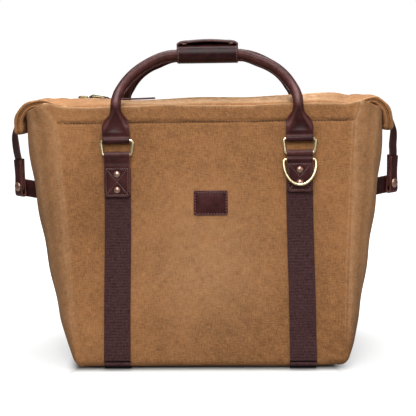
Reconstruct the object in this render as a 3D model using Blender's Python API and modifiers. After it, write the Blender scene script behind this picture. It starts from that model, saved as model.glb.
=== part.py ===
"""A zip-top tote bag in waxed canvas, with rolled leather handles and webbing straps.

Units are metres, +Z is up and the front faces -Y. Every sub-part is one named object
in the collection tote_bag. The shapes that cut holes are in the collection cutters.
"""

import math

import bmesh
import bpy
from mathutils import Matrix, Vector

# Canvas body
HEIGHT = 0.371
WIDTH_BASE = 0.384
WIDTH_TOP = 0.422
DEPTH_BASE = 0.190
DEPTH_TOP = 0.092
WALL = 0.003
CLEARANCE = 0.0003
BULGE_BASE = 0.006
BULGE_RISE = 0.0567
BULGE_DRAW = 0.14
BULGE_LEAN = 0.007
GUSSET_DIP = 0.014
GUSSET_FOOT = 0.007
CENTRE_X = 0.007
PANEL_FOOT = 0.006
PANEL_CORNER = 0.010
GUSSET_LEVELS = (0.0, 0.1, 0.25, 0.45, 0.7, 1.0)

# Base, board and lining
STRAP_THICKNESS = 0.0022
BASE_LOW = STRAP_THICKNESS + CLEARANCE
BASE_HALF_DEPTH = 0.0903
BASE_HALF_WIDTH = 0.2035
BASE_CORNER = 0.030
BOARD_THICKNESS = 0.002
BOARD_MARGIN = 0.006
LINING_OFFSET = 0.0026
LINING_THICKNESS = 0.0008
LINING_TOP = 0.352
LINING_EDGE = 0.008
LINING_SWELL_LESS = 0.006
LINING_LEVELS = (0.0, 0.07, 0.24, 0.47, 0.73, 1.0)

# Webbing straps, ring tabs and rivets
STRAP_X = 0.1300
STRAP_HALF_WIDTH = 0.019
STRAP_TOP = 0.288
STRAP_CORNER = 0.0045
TAB_HALF_WIDTH = 0.0186
TAB_LEATHER = 0.002
TAB_LAYER = 0.00115
TAB_CENTRE = 0.0052
TAB_FOOT_PLAIN = 0.2470
TAB_FOOT_D = 0.2520
RIVETS_PLAIN = (0.2790, 0.2565)
RIVETS_D = (0.2830, 0.2645)
RIVET_HEAD = 0.0046
RIVET_SHANK = 0.0016
RIVET_BURR = 0.0030
RIVET_BURR_RISE = 0.001
RIVET_RISE = 0.0023
HOLE_REACH = 0.04

# Rings
RING_BAR = 0.3068
RING_HEIGHT = 0.0205
RING_HALF_WIDTH = 0.0228
RING_CORNER = 0.003
RING_WIRE = 0.0022
RING_EYE = 0.0037
D_BAR = RING_BAR - 0.0090
D_HALF_WIDTH = 0.023
D_DROP = 0.037
D_CORNER = 0.004
D_WIRE = 0.0019
D_EYE = 0.0032
D_LEAN = math.radians(12.5)

# Handles
LEATHER = 0.002
ROLL_HALF_WIDTH = 0.0195
ROLL_ANGLE = math.radians(173)
FLAT_ANGLE = math.radians(0.5)
ROLL_STEPS = 8
ARCH_TOP = 0.4455
ARCH_FLAT = 0.046
ARCH_FOOT = 0.376
LEG_X = 0.1270
LEG_Y_TOP = -0.0578
LEG_Y_ARCH = -0.0090
LEG_LEAN_POWER = 1.3
FAN_TOP = 0.362
FAN_FOOT = 0.345
FAN_STEPS = (0.16, 0.32, 0.48, 0.64, 0.82)
LEG_FOOT = 0.369
TAIL_TUCK = 0.0006
HANDLE_TAIL = 0.338
CORE_RADIUS = 0.0048

# Grip wrap around both handles
WRAP_HALF_LENGTH = 0.0445
WRAP_LEATHER = 0.0022
WRAP_RADIUS = 0.0113
WRAP_END = 0.004
WRAP_LIFT = 0.0165
FLAP_RISE = ((0.0075, 0.0126), (0.0030, 0.0152), (-0.0030, WRAP_LIFT))
FLAP_EDGE = -0.0135
SNAP_X = 0.034
SNAP_Y = -0.008
SNAP_RADIUS = 0.0050

# Zip top
TOP_EDGE = 0.3725
RIDGE = 0.3825
TOP_HALF_DEPTH = 0.044
ZIP_SLOT = 0.005
TOP_CANVAS = 0.0020
TOP_BOW = 0.9
FLAP_LINES = (-0.031, -0.018)
END_LINE = 0.025
FLAP_LEFT = -0.066
FLAP_RIGHT = 0.150
END_REACH = 0.2105
CHAIN_END = 0.196
SLOT_END = 0.198
TAPE_HALF = 0.013
TAPE_THICKNESS = 0.0008
TAPE_DROP = 0.0032
TOOTH_HALF = 0.0032
TOOTH_HEIGHT = 0.0024
SLIDER_X = -0.182
SLIDER_LENGTH = 0.024
SLIDER_HALF_WIDTH = 0.0046
SLIDER_LID = 0.0016
BRIDGE = (
    (-0.007, 0.0),
    (-0.007, 0.0030),
    (-0.005, 0.0042),
    (0.004, 0.0042),
    (0.006, 0.0030),
    (0.006, 0.0),
)
BRIDGE_METAL = 0.0012
BRIDGE_HALF_WIDTH = 0.0018
PULL_PIVOT_X = 0.0030
PULL_PIVOT_RISE = 0.0021
PULL_LENGTH = 0.030
PULL_HALF_WIDTH = 0.0040
PULL_CORNER = 0.0030
PULL_WIRE = 0.0009
PULL_TAB_LENGTH = 0.062
PULL_TAB_LIFT = 0.003
PULL_TAB_GAP = 0.0015
PULL_TAB_HALF_WIDTH = 0.0045
PULL_TAB_LEATHER = 0.002

# Ears, end straps and keepers
EAR_HALF_WIDTH = 0.027
EAR_THICKNESS = 0.010
EAR_PATH = (
    (0.2125, 0.3780),
    (0.2360, 0.3780),
    (0.2530, 0.3750),
    (0.2655, 0.3670),
    (0.2720, 0.3550),
    (0.2737, 0.3430),
    (0.2725, 0.3330),
)
EAR_HINGE_X = 0.2120
EAR_HINGE_Z = 0.3835
END_STRAP_HALF = 0.009
END_STRAP_LEATHER = 0.0022
END_STRAP_TURN = math.radians(35)
KEEPER_X = 0.2800
KEEPER_Y = 0.016
KEEPER_TOP = 0.288
KEEPER_FOOT = 0.2335
KEEPER_HALF_WIDTH = 0.009
KEEPER_LEATHER = 0.0032
KEEPER_GAP = 0.0055
FOLD_RISE = 0.004
FOLD_FLAT = 0.002
LEAF_FOOT = 0.2385
LEAF_SHORT = 0.002
CAP_Z = 0.250
CAP_RADIUS = 0.0068
CAP_RISE = 0.0029
CAP_SHANK = 0.0015
END_STRAP_PATH = (
    (0.2810, 0.000, 0.3600, 0.0),
    (0.2828, 0.000, 0.3450, 0.0),
    (0.2855, 0.002, 0.3300, 0.15),
    (0.2860, 0.006, 0.3130, 0.5),
    (0.2837, 0.012, 0.2980, 0.9),
    (0.2817, KEEPER_Y, 0.2850, 1.0),
    (0.2813, KEEPER_Y, 0.2640, 1.0),
    (0.2813, KEEPER_Y, 0.2430, 1.0),
)
SIDE_TAB_Z = 0.2503
SIDE_TAB_HALF = 0.012
SIDE_TAB_LEATHER = 0.0026
SIDE_TAB_ROOT = ((-0.0190, 0.0), (-0.0110, 0.0), (-0.0050, 0.0030))
SIDE_TAB_RUN = (0.0125, 0.0, -0.0075)
SIDE_TAB_OFFSET = 0.0024

# Patch
PATCH_X = 0.003
PATCH_Z = 0.235
PATCH_HALF_WIDTH = 0.0245
PATCH_HALF_HEIGHT = 0.0178
PATCH_LEATHER = 0.0018
PATCH_CORNER = 0.003

TILT = math.atan2((DEPTH_BASE - DEPTH_TOP) / 2, HEIGHT)
TURN_STEPS = 12
FRONT, BACK = -1, 1
LEFT, RIGHT = -1, 1
FACE_NAMES = {FRONT: "front", BACK: "back"}
SIDE_NAMES = {LEFT: "left", RIGHT: "right"}


def clear_scene():
    """Remove whatever the file holds."""
    for thing in list(bpy.data.objects):
        bpy.data.objects.remove(thing, do_unlink=True)


def make_collection(name):
    """Add a collection to the scene."""
    collection = bpy.data.collections.new(name)
    bpy.context.scene.collection.children.link(collection)
    return collection


def make_material(name, colour, roughness, metallic=0.0):
    """Make a plain Principled material."""
    material = bpy.data.materials.new(name)
    material.use_nodes = True
    shader = material.node_tree.nodes["Principled BSDF"]
    shader.inputs["Base Color"].default_value = (*colour, 1.0)
    shader.inputs["Roughness"].default_value = roughness
    shader.inputs["Metallic"].default_value = metallic
    return material


class Bench:
    """Holds the collections, the material finishes and the empties that place the parts."""

    def __init__(self):
        self.parts = make_collection("tote_bag")
        self.cutters = make_collection("cutters")
        self.finishes = {
            "canvas": ((0.30, 0.17, 0.07), 0.85, 0.0),
            "lining": ((0.10, 0.07, 0.05), 0.90, 0.0),
            "leather": ((0.055, 0.016, 0.014), 0.42, 0.0),
            "webbing": ((0.030, 0.013, 0.012), 0.90, 0.0),
            "brass": ((0.72, 0.58, 0.34), 0.25, 1.0),
            "copper": ((0.45, 0.20, 0.12), 0.40, 1.0),
            "zip": ((0.16, 0.12, 0.06), 0.40, 1.0),
            "board": ((0.12, 0.09, 0.06), 0.80, 0.0),
            "cord": ((0.45, 0.38, 0.28), 0.90, 0.0),
        }
        self.root = bpy.data.objects.new("bag_frame", None)
        self.parts.objects.link(self.root)
        self.root.location = (CENTRE_X, 0.0, 0.0)

    def place(self, name, data, finish, matrix):
        """Put a mesh or curve in the parts collection, under the bag's frame."""
        thing = bpy.data.objects.new(name, data)
        self.parts.objects.link(thing)
        thing.parent = self.root
        thing.matrix_local = matrix
        data.materials.append(make_material(name, *self.finishes[finish]))
        return thing

    def drill(self, matrix, radius, length, targets):
        """Cut a round hole along a frame's Z axis through the targets."""
        mesh = bpy.data.meshes.new("hole")
        shape = bmesh.new()
        bmesh.ops.create_cone(
            shape, cap_ends=True, segments=12, radius1=radius, radius2=radius, depth=length
        )
        shape.to_mesh(mesh)
        shape.free()
        cutter = bpy.data.objects.new("hole", mesh)
        self.cutters.objects.link(cutter)
        cutter.parent = self.root
        cutter.matrix_local = matrix
        cutter.hide_render = True
        cutter.display_type = "WIRE"
        for target in targets:
            modifier = target.modifiers.new("hole", "BOOLEAN")
            modifier.operation = "DIFFERENCE"
            modifier.solver = "EXACT"
            modifier.object = cutter


def depth_at(z):
    """Front to back depth of the body at a height."""
    return DEPTH_BASE + (DEPTH_TOP - DEPTH_BASE) * z / HEIGHT


def width_at(z):
    """Width of the front panel at a height."""
    return WIDTH_BASE + (WIDTH_TOP - WIDTH_BASE) * z / HEIGHT


def bulge_at(side, z):
    """How far a gusset swells past the panel's edge: more on the left, drawn in under the zip."""
    share = z / HEIGHT
    drawn = 1 - BULGE_DRAW * share**4
    return BULGE_BASE + (BULGE_RISE * drawn - side * BULGE_LEAN) * math.sqrt(share)


def half_inside(z):
    """Half of the depth between the panels' inner faces."""
    return depth_at(z) / 2 - WALL / math.cos(TILT)


def gusset_x(side, y, z):
    """Where a gusset's outer face is, at a depth and height."""
    half = half_inside(z) - CLEARANCE
    share = min(1.0, abs(y) / half)
    edge = width_at(z) / 2 - CLEARANCE * 4
    return side * (edge + bulge_at(side, z) * math.sqrt(1 - share * share))


def side_x(side, x):
    """Where a piece on a bag end is: the ends lean to the left of the front panel."""
    return side * x - BULGE_LEAN


def arc(centre, radius, start, end, count):
    """Points on an arc, angles in degrees."""
    angles = [math.radians(start + (end - start) * i / count) for i in range(count + 1)]
    return [
        (centre[0] + radius * math.cos(a), centre[1] + radius * math.sin(a)) for a in angles
    ]


def rounded_box(half_x, half_y, radius, count=3):
    """A rectangle with round corners about the origin."""
    dx, dy = half_x - radius, half_y - radius
    points = arc((dx, dy), radius, 0, 90, count)
    points += arc((-dx, dy), radius, 90, 180, count)
    points += arc((-dx, -dy), radius, 180, 270, count)
    points += arc((dx, -dy), radius, 270, 360, count)
    return points


def band(path, thickness):
    """The closed outline of a strip of even thickness along a path."""
    path = [Vector(p) for p in path]
    left, right = [], []
    for i, point in enumerate(path):
        before = (point - path[i - 1]).normalized() if i else None
        after = (path[i + 1] - point).normalized() if i + 1 < len(path) else None
        before = before or after
        after = after or before
        along = (before + after).normalized()
        normal = Vector((-along.y, along.x))
        reach = thickness / 2 / max(0.5, along.dot(after))
        left.append(point + normal * reach)
        right.append(point - normal * reach)
    return left + right[::-1]


def frame(origin, x_axis, y_axis):
    """A placing matrix from an origin and two axes."""
    x_axis = Vector(x_axis).normalized()
    y_axis = Vector(y_axis).normalized()
    z_axis = x_axis.cross(y_axis)
    matrix = Matrix((x_axis, y_axis, z_axis)).transposed().to_4x4()
    matrix.translation = Vector(origin)
    return matrix


def turned_about(face):
    """The half turn that makes a back piece from a front one."""
    return Matrix.Rotation(0.0 if face == FRONT else math.pi, 4, "Z")


def face_axes():
    """The front face's up-slope and outward directions."""
    up = Vector((0.0, math.sin(TILT), math.cos(TILT)))
    out = Vector((0.0, -math.cos(TILT), math.sin(TILT)))
    return up, out


def face_point(x, s, n):
    """A point of the front face: across, up the slope and outward."""
    up, out = face_axes()
    return Vector((x, -DEPTH_BASE / 2, 0.0)) + up * s + out * n


def plate_frame(x, s, n):
    """A frame whose XY plane lies on the front face and whose Z points outward."""
    return frame(face_point(x, s, n), (1, 0, 0), face_axes()[0])


def profile_frame(x):
    """A frame whose X climbs the front face, Y points outward and Z runs across."""
    up, out = face_axes()
    return frame(face_point(x, 0.0, 0.0), up, out)


def outline_solid(bench, name, outline, half_thickness, finish, matrix):
    """Extrude a closed outline to both sides of its plane and make it a mesh."""
    curve = bpy.data.curves.new(name, "CURVE")
    curve.dimensions = "2D"
    curve.fill_mode = "BOTH"
    curve.extrude = half_thickness
    spline = curve.splines.new("POLY")
    spline.points.add(len(outline) - 1)
    for point, place in zip(spline.points, outline):
        point.co = (place[0], place[1], 0.0, 1.0)
    spline.use_cyclic_u = True
    drawn = bpy.data.objects.new(name + "_outline", curve)
    bench.parts.objects.link(drawn)
    graph = bpy.context.evaluated_depsgraph_get()
    mesh = bpy.data.meshes.new_from_object(drawn.evaluated_get(graph))
    bpy.data.objects.remove(drawn)
    shape = bmesh.new()
    shape.from_mesh(mesh)
    bmesh.ops.remove_doubles(shape, verts=shape.verts, dist=1e-6)
    bmesh.ops.recalc_face_normals(shape, faces=shape.faces)
    shape.to_mesh(mesh)
    shape.free()
    return bench.place(name, mesh, finish, matrix)


def sheet(bench, name, rows, thickness, finish, matrix=None, skip=(), closed=False):
    """A sheet of even thickness through rows of points, with any skipped cells left open."""
    origin = matrix or Matrix()
    back = origin.inverted()
    shape = bmesh.new()
    grid = [[shape.verts.new(back @ Vector(p)) for p in row] for row in rows]
    columns = len(rows[0])
    for i in range(len(grid) - 1):
        for j in range(columns if closed else columns - 1):
            if (i, j) in skip:
                continue
            k = (j + 1) % columns
            shape.faces.new((grid[i][j], grid[i][k], grid[i + 1][k], grid[i + 1][j]))
    if closed:
        shape.faces.new(grid[0][::-1])
    bmesh.ops.recalc_face_normals(shape, faces=shape.faces)
    mesh = bpy.data.meshes.new(name)
    shape.to_mesh(mesh)
    shape.free()
    thing = bench.place(name, mesh, finish, origin)
    modifier = thing.modifiers.new("thickness", "SOLIDIFY")
    modifier.thickness = thickness
    modifier.offset = 0.0
    return thing


def wire(bench, name, points, radius, finish, matrix, cyclic=True):
    """A round wire along points."""
    curve = bpy.data.curves.new(name, "CURVE")
    curve.dimensions = "3D"
    curve.bevel_depth = radius
    curve.bevel_resolution = 2
    curve.use_fill_caps = True
    spline = curve.splines.new("POLY")
    spline.points.add(len(points) - 1)
    for point, place in zip(spline.points, points):
        point.co = (*place, 1.0)
    spline.use_cyclic_u = cyclic
    return bench.place(name, curve, finish, matrix)


def turned(bench, name, profile, finish, matrix):
    """A turned piece from a radius and height profile that starts and ends on the axis."""
    mesh = bpy.data.meshes.new(name)
    points = [(r, 0.0, h) for r, h in profile]
    mesh.from_pydata(points, [(i, i + 1) for i in range(len(points) - 1)], [])
    thing = bench.place(name, mesh, finish, matrix)
    screw = thing.modifiers.new("turn", "SCREW")
    screw.steps = TURN_STEPS
    screw.render_steps = TURN_STEPS
    screw.use_merge_vertices = True
    screw.merge_threshold = 0.00001
    screw.use_normal_calculate = True
    return thing


def make_panels(bench):
    """The front and back canvas panels."""
    panels = {}
    top = HEIGHT / math.cos(TILT)
    foot_half = width_at(PANEL_FOOT) / 2
    top_half = width_at(HEIGHT) / 2
    right = arc((foot_half - PANEL_CORNER, PANEL_FOOT + PANEL_CORNER), PANEL_CORNER, -90, 0, 4)
    right += [(top_half, top)]
    outline = right + [(-x, s) for x, s in reversed(right)]
    for face in (FRONT, BACK):
        matrix = turned_about(face) @ plate_frame(0.0, 0.0, -WALL / 2)
        name = FACE_NAMES[face] + "_panel"
        panels[face] = outline_solid(bench, name, outline, WALL / 2, "canvas", matrix)
    return panels


def make_gussets(bench):
    """The rounded canvas ends."""
    shares = [math.sin(math.radians(a)) for a in range(-90, 91, 18)]
    for side in (LEFT, RIGHT):
        rows = []
        for level in GUSSET_LEVELS:
            row = []
            for share in shares:
                top = HEIGHT - GUSSET_DIP * (1 - share * share)
                z = GUSSET_FOOT + level * (top - GUSSET_FOOT)
                half = half_inside(z) - CLEARANCE - WALL / 2
                x = gusset_x(side, share * half, z) - side * WALL / 2
                row.append((x, share * half, z))
            rows.append(row)
        sheet(bench, SIDE_NAMES[side] + "_gusset", rows, WALL, "canvas")


def make_base(bench):
    """The canvas base and the stiff board inside it."""
    outline = rounded_box(BASE_HALF_WIDTH, BASE_HALF_DEPTH, BASE_CORNER)
    middle = BASE_LOW + WALL / 2
    outline_solid(
        bench, "base_panel", outline, WALL / 2, "canvas", Matrix.Translation((0, 0, middle))
    )
    low = BASE_LOW + WALL + CLEARANCE + BOARD_THICKNESS / 2
    outline = rounded_box(
        WIDTH_BASE / 2 - BOARD_MARGIN, half_inside(low) - BOARD_MARGIN, BASE_CORNER
    )
    outline_solid(
        bench, "base_board", outline, BOARD_THICKNESS / 2, "board", Matrix.Translation((0, 0, low))
    )


def make_lining(bench):
    """The open-topped lining bag, just inside the canvas."""
    low = BASE_LOW + WALL + BOARD_THICKNESS + 4 * CLEARANCE
    rows = []
    for level in LINING_LEVELS:
        z = low + level * (LINING_TOP - low)
        half = half_inside(z) - LINING_OFFSET
        edge = width_at(z) / 2 - LINING_EDGE
        row = [(-edge, -half, z), (0.0, -half, z), (edge, -half, z)]
        for side in (RIGHT, LEFT):
            swell = max(LINING_OFFSET, bulge_at(side, z) - LINING_SWELL_LESS)
            for angle in range(-60, 61, 30):
                y = side * half * math.sin(math.radians(angle))
                row.append((side * (edge + swell * math.cos(math.radians(angle))), y, z))
            if side == RIGHT:
                row += [(edge, half, z), (0.0, half, z), (-edge, half, z)]
        rows.append(row)
    sheet(bench, "lining", rows, LINING_THICKNESS, "lining", closed=True)


def make_webbing(bench):
    """The two webbing straps that run under the base and up both faces."""
    straps = {}
    middle = STRAP_THICKNESS / 2
    up = face_axes()[0]
    corner = face_point(0.0, 0.0, middle + CLEARANCE)
    foot = corner - up * ((corner.z - middle) / up.z)
    half_turn = (math.pi / 2 + TILT) / 2
    run = STRAP_CORNER / math.tan(math.pi / 2 - half_turn)
    centre = foot + Vector((0.0, run, STRAP_CORNER))
    top = face_point(0.0, STRAP_TOP, middle + CLEARANCE)
    bend = arc((centre.y, centre.z), STRAP_CORNER, 180 - math.degrees(TILT), 270, 4)
    half = [(top.y, top.z)] + bend
    path = half + [(-y, z) for y, z in reversed(half)]
    for side in (LEFT, RIGHT):
        matrix = frame((side * STRAP_X, 0, 0), (0, 1, 0), (0, 0, 1))
        name = SIDE_NAMES[side] + "_webbing"
        outline = band(path, STRAP_THICKNESS)
        straps[side] = outline_solid(bench, name, outline, STRAP_HALF_WIDTH, "webbing", matrix)
    return straps


def tab_path(foot, holds_d_ring):
    """The folded strip of a ring tab: up in front, round the ring's bar and down behind."""

    def half_gap(s):
        gap = TAB_LAYER
        eyes = [(RING_BAR, RING_EYE)] + ([(D_BAR, D_EYE)] if holds_d_ring else [])
        for centre, radius in eyes:
            if abs(s - centre) < radius:
                gap = max(gap, math.sqrt(radius**2 - (s - centre) ** 2))
        return gap

    stations = [foot]
    if holds_d_ring:
        stations += [D_BAR + D_EYE * f for f in (-0.95, -0.7, 0.0, 0.7, 0.95)]
    stations += [RING_BAR + RING_EYE * f for f in (-0.95, -0.7, 0.0)]
    front = [(s, TAB_CENTRE + half_gap(s)) for s in stations]
    over = arc((RING_BAR, TAB_CENTRE), RING_EYE, 90, -90, 8)[1:-1]
    behind = [(s, 2 * TAB_CENTRE - n) for s, n in reversed(front)]
    return front + over + behind


def has_d_ring(face, side):
    """The D-rings are on the front right and back left tabs, across from each other."""
    return side == -face


def make_tabs(bench, panels, straps):
    """The leather ring tabs and the rivets that hold them."""
    head = TAB_CENTRE + TAB_LAYER + TAB_LEATHER / 2 + CLEARANCE
    burr = -(head + WALL + CLEARANCE)
    profile = [
        (0.0, burr - RIVET_BURR_RISE),
        (RIVET_BURR, burr - RIVET_BURR_RISE),
        (RIVET_BURR, burr),
        (RIVET_SHANK, burr),
        (RIVET_SHANK, 0.0),
        (RIVET_HEAD, 0.0),
        (RIVET_HEAD, RIVET_RISE * 0.3),
        (RIVET_HEAD * 0.8, RIVET_RISE * 0.74),
        (RIVET_HEAD * 0.4, RIVET_RISE * 0.96),
        (0.0, RIVET_RISE),
    ]
    for face in (FRONT, BACK):
        turn = turned_about(face)
        for side in (LEFT, RIGHT):
            x = -face * side * STRAP_X
            d_ring = has_d_ring(face, side)
            name = FACE_NAMES[face] + "_" + SIDE_NAMES[side]
            foot = TAB_FOOT_D if d_ring else TAB_FOOT_PLAIN
            outline = band(tab_path(foot, d_ring), TAB_LEATHER)
            tab = outline_solid(
                bench, name + "_tab", outline, TAB_HALF_WIDTH, "leather", turn @ profile_frame(x)
            )
            heights = RIVETS_D if d_ring else RIVETS_PLAIN
            for level, s in zip(("upper", "lower"), heights):
                place = turn @ plate_frame(x, s, head)
                turned(bench, name + "_" + level + "_rivet", profile, "copper", place)
                hole = RIVET_SHANK + CLEARANCE
                bench.drill(place, hole, HOLE_REACH, (tab, straps[side], panels[face]))


def make_rings(bench):
    """The rectangular rings and the D-rings."""
    ring = [
        (x, s + RING_HEIGHT / 2, 0.0)
        for x, s in rounded_box(RING_HALF_WIDTH, RING_HEIGHT / 2, RING_CORNER)
    ]
    reach = D_HALF_WIDTH - D_CORNER
    right = [(reach, 0.0), (D_HALF_WIDTH - D_CORNER * 0.3, -D_CORNER * 0.3)]
    bow = [
        (
            D_HALF_WIDTH * math.cos(math.radians(a)),
            -D_CORNER - (D_DROP - D_CORNER) * math.sin(math.radians(a)),
        )
        for a in range(0, 181, 15)
    ]
    d_outline = right + bow + [(-x, s) for x, s in reversed(right)]
    d_ring = [(x, s, 0.0) for x, s in d_outline]
    for face in (FRONT, BACK):
        turn = turned_about(face)
        for side in (LEFT, RIGHT):
            x = -face * side * STRAP_X
            name = FACE_NAMES[face] + "_" + SIDE_NAMES[side]
            place = turn @ plate_frame(x, RING_BAR, TAB_CENTRE)
            wire(bench, name + "_ring", ring, RING_WIRE, "brass", place)
            if has_d_ring(face, side):
                place = turn @ plate_frame(x, D_BAR, TAB_CENTRE)
                lean = Matrix.Rotation(-D_LEAN, 4, "X")
                wire(bench, FACE_NAMES[face] + "_d_ring", d_ring, D_WIRE, "brass", place @ lean)


def leg_y(z):
    """Depth of a front handle's centre at a height above the bag's top edge."""
    share = max(0.0, min(1.0, (ARCH_TOP - z) / (ARCH_TOP - HEIGHT)))
    return LEG_Y_ARCH + (LEG_Y_TOP - LEG_Y_ARCH) * share**LEG_LEAN_POWER


def smooth(share):
    """An eased step from 0 to 1."""
    share = max(0.0, min(1.0, share))
    return share * share * (3 - 2 * share)


def handle_centres():
    """Centre points of a front handle's round run, from the top's middle to the right fan."""
    points = [(0.0, ARCH_TOP), (ARCH_FLAT / 2, ARCH_TOP)]
    for angle in range(90, -1, -10):
        a = math.radians(angle)
        x = ARCH_FLAT + (LEG_X - ARCH_FLAT) * math.cos(a)
        points.append((x, ARCH_FOOT + (ARCH_TOP - ARCH_FOOT) * math.sin(a)))
    points.append((LEG_X, LEG_FOOT))
    return [Vector((x, leg_y(z), z)) for x, z in points]


def handle_rows():
    """Rows of points across the rolled handle strip, for the right half of a front handle."""
    tube = ROLL_HALF_WIDTH / ROLL_ANGLE
    stations = []
    centres = handle_centres()
    for i, point in enumerate(centres):
        ahead = centres[min(i + 1, len(centres) - 1)]
        behind = centres[max(i - 1, 0)]
        along = (ahead - behind).normalized()
        if i == 0:
            along = Vector((1.0, 0.0, 0.0))
        face = (Vector((0, -1, 0)) + along * along.y).normalized()
        stations.append((point + face * tube, along, face, ROLL_ANGLE))
    bar = face_point(STRAP_X, RING_BAR + RING_HEIGHT, TAB_CENTRE)
    up, out = face_axes()
    loop_front = bar + out * RING_EYE
    last = stations[-1][0]
    for share in FAN_STEPS:
        point = last.lerp(loop_front, share)
        flat = smooth((FAN_TOP - point.z) / (FAN_TOP - FAN_FOOT))
        angle = ROLL_ANGLE + (FLAT_ANGLE - ROLL_ANGLE) * flat
        stations.append((point, Vector((0, 0, -1)), Vector((0, -1, 0)), angle))
    for turn in range(0, 181, 30):
        a = math.radians(turn)
        normal = out * math.cos(a) - up * math.sin(a)
        along = -up * math.cos(a) - out * math.sin(a)
        stations.append((bar + normal * RING_EYE, along, normal, FLAT_ANGLE))
    tail = bar - out * (RING_EYE - TAIL_TUCK) + up * (HANDLE_TAIL - bar.z)
    stations.append((tail, up, -out, FLAT_ANGLE))
    shares = [-1 + 2 * i / ROLL_STEPS for i in range(ROLL_STEPS + 1)]
    rows = []
    for point, along, face, angle in stations:
        across = face.cross(along)
        radius = ROLL_HALF_WIDTH / angle
        rows.append(
            [
                point
                + across * radius * math.sin(u * angle)
                - face * radius * (1 - math.cos(u * angle))
                for u in shares
            ]
        )
    return rows


def make_handles(bench):
    """The two rolled leather handles and the cord core in each."""
    half = handle_rows()
    mirrored = [[Vector((-p.x, p.y, p.z)) for p in row] for row in half[1:]]
    rows = mirrored[::-1] + half
    middle = handle_centres()
    core = [(-p.x, p.y, p.z) for p in middle[:0:-1]] + [tuple(p) for p in middle]
    for face in (FRONT, BACK):
        turn = turned_about(face)
        hinge = face_point(0.0, RING_BAR + RING_HEIGHT, TAB_CENTRE)
        name = FACE_NAMES[face] + "_handle"
        place = Matrix.Translation(hinge)
        handle = sheet(bench, name, rows, LEATHER, "leather", place)
        handle.matrix_local = turn @ place
        wire(bench, name + "_core", core, CORE_RADIUS, "cord", turn, cyclic=False)


def make_grip(bench):
    """The leather wrap on the front handle, its flap round the back handle, and two snaps."""
    y = -LEG_Y_ARCH
    radius = WRAP_RADIUS
    wrap = [(-CLEARANCE, -radius)] + arc((-y, 0.0), radius, 270, 90, 10) + [(WRAP_END, radius)]
    flap = [(CLEARANCE, -radius)] + arc((y, 0.0), radius, -90, 70, 9)
    flap += [*FLAP_RISE, (FLAP_EDGE, WRAP_LIFT)]
    along = frame((0.0, 0.0, ARCH_TOP), (0, 1, 0), (0, 0, 1))
    outline_solid(
        bench, "grip_wrap", band(wrap, WRAP_LEATHER), WRAP_HALF_LENGTH, "leather", along
    )
    hinge = along @ Matrix.Translation((0.0, -radius, 0.0))
    flap = [(a, b + radius) for a, b in flap]
    outline_solid(
        bench, "grip_flap", band(flap, WRAP_LEATHER), WRAP_HALF_LENGTH, "leather", hinge
    )
    low = ARCH_TOP + radius + WRAP_LEATHER / 2 + CLEARANCE
    high = ARCH_TOP + WRAP_LIFT - WRAP_LEATHER / 2 - CLEARANCE
    profile = [
        (0.0, 0.0),
        (SNAP_RADIUS * 0.8, 0.0),
        (SNAP_RADIUS, (high - low) / 2),
        (SNAP_RADIUS * 0.9, high - low),
        (0.0, high - low),
    ]
    for side in (LEFT, RIGHT):
        place = Matrix.Translation((side * SNAP_X, SNAP_Y, low))
        turned(bench, SIDE_NAMES[side] + "_grip_snap", profile, "copper", place)


def roof_z(y):
    """Height of the zip top's canvas above a depth: a low ridge along the zip."""
    return TOP_EDGE + (RIDGE - TOP_EDGE) * (1 - abs(y) / TOP_HALF_DEPTH) ** TOP_BOW


def chain_z():
    """Height of the zip tape's middle, just under the canvas."""
    return roof_z(ZIP_SLOT) - TOP_CANVAS / 2 - TAPE_DROP


def chain_outline(left, right):
    """The outline of a zip tape with its row of teeth, between two depths."""
    tape = TAPE_THICKNESS / 2
    tooth = TOOTH_HEIGHT / 2
    inner_left = max(left, -TOOTH_HALF)
    inner_right = min(right, TOOTH_HALF)
    upper = [(inner_left, tooth), (inner_right, tooth)]
    if left < -TOOTH_HALF:
        upper = [(left, tape), (inner_left, tape)] + upper
    if right > TOOTH_HALF:
        upper = upper + [(inner_right, tape), (right, tape)]
    return upper + [(y, -z) for y, z in reversed(upper)]


def make_zip_top(bench):
    """The canvas halves that open, the fixed ends and the zip chain."""
    middle = (FLAP_LEFT + FLAP_RIGHT) / 2
    half = (FLAP_RIGHT - FLAP_LEFT) / 2
    depths = [-TOP_HALF_DEPTH, *FLAP_LINES, -ZIP_SLOT]
    hinge = (middle, -TOP_HALF_DEPTH, TOP_EDGE)
    flap = [(y + TOP_HALF_DEPTH, roof_z(y) - TOP_EDGE) for y in depths]
    chain = [
        (y + TOP_HALF_DEPTH, z + chain_z() - TOP_EDGE)
        for y, z in chain_outline(-TAPE_HALF, -CLEARANCE)
    ]
    for face in (FRONT, BACK):
        if face == FRONT:
            place = frame(hinge, (0, 1, 0), (0, 0, 1))
        else:
            place = frame((middle, TOP_HALF_DEPTH, TOP_EDGE), (0, -1, 0), (0, 0, 1))
        name = FACE_NAMES[face]
        outline_solid(bench, name + "_zip_flap", band(flap, TOP_CANVAS), half, "canvas", place)
        outline_solid(bench, name + "_zip_chain", chain, half, "zip", place)
    lines = [-TOP_HALF_DEPTH, -END_LINE, -ZIP_SLOT, ZIP_SLOT, END_LINE, TOP_HALF_DEPTH]
    for side, start in ((LEFT, FLAP_LEFT), (RIGHT, FLAP_RIGHT)):
        near = start + side * 4 * CLEARANCE
        stops = [near, side * SLOT_END, side * END_REACH]
        rows = [[(x, y, roof_z(y)) for y in lines] for x in stops]
        name = SIDE_NAMES[side]
        sheet(bench, name + "_zip_end", rows, TOP_CANVAS, "canvas", skip={(0, 2)})
        run = abs(side * CHAIN_END - near) / 2
        place = frame(((side * CHAIN_END + near) / 2, 0, chain_z()), (0, 1, 0), (0, 0, 1))
        outline = chain_outline(-TAPE_HALF, TAPE_HALF)
        outline_solid(bench, name + "_zip_chain", outline, run, "zip", place)


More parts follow.
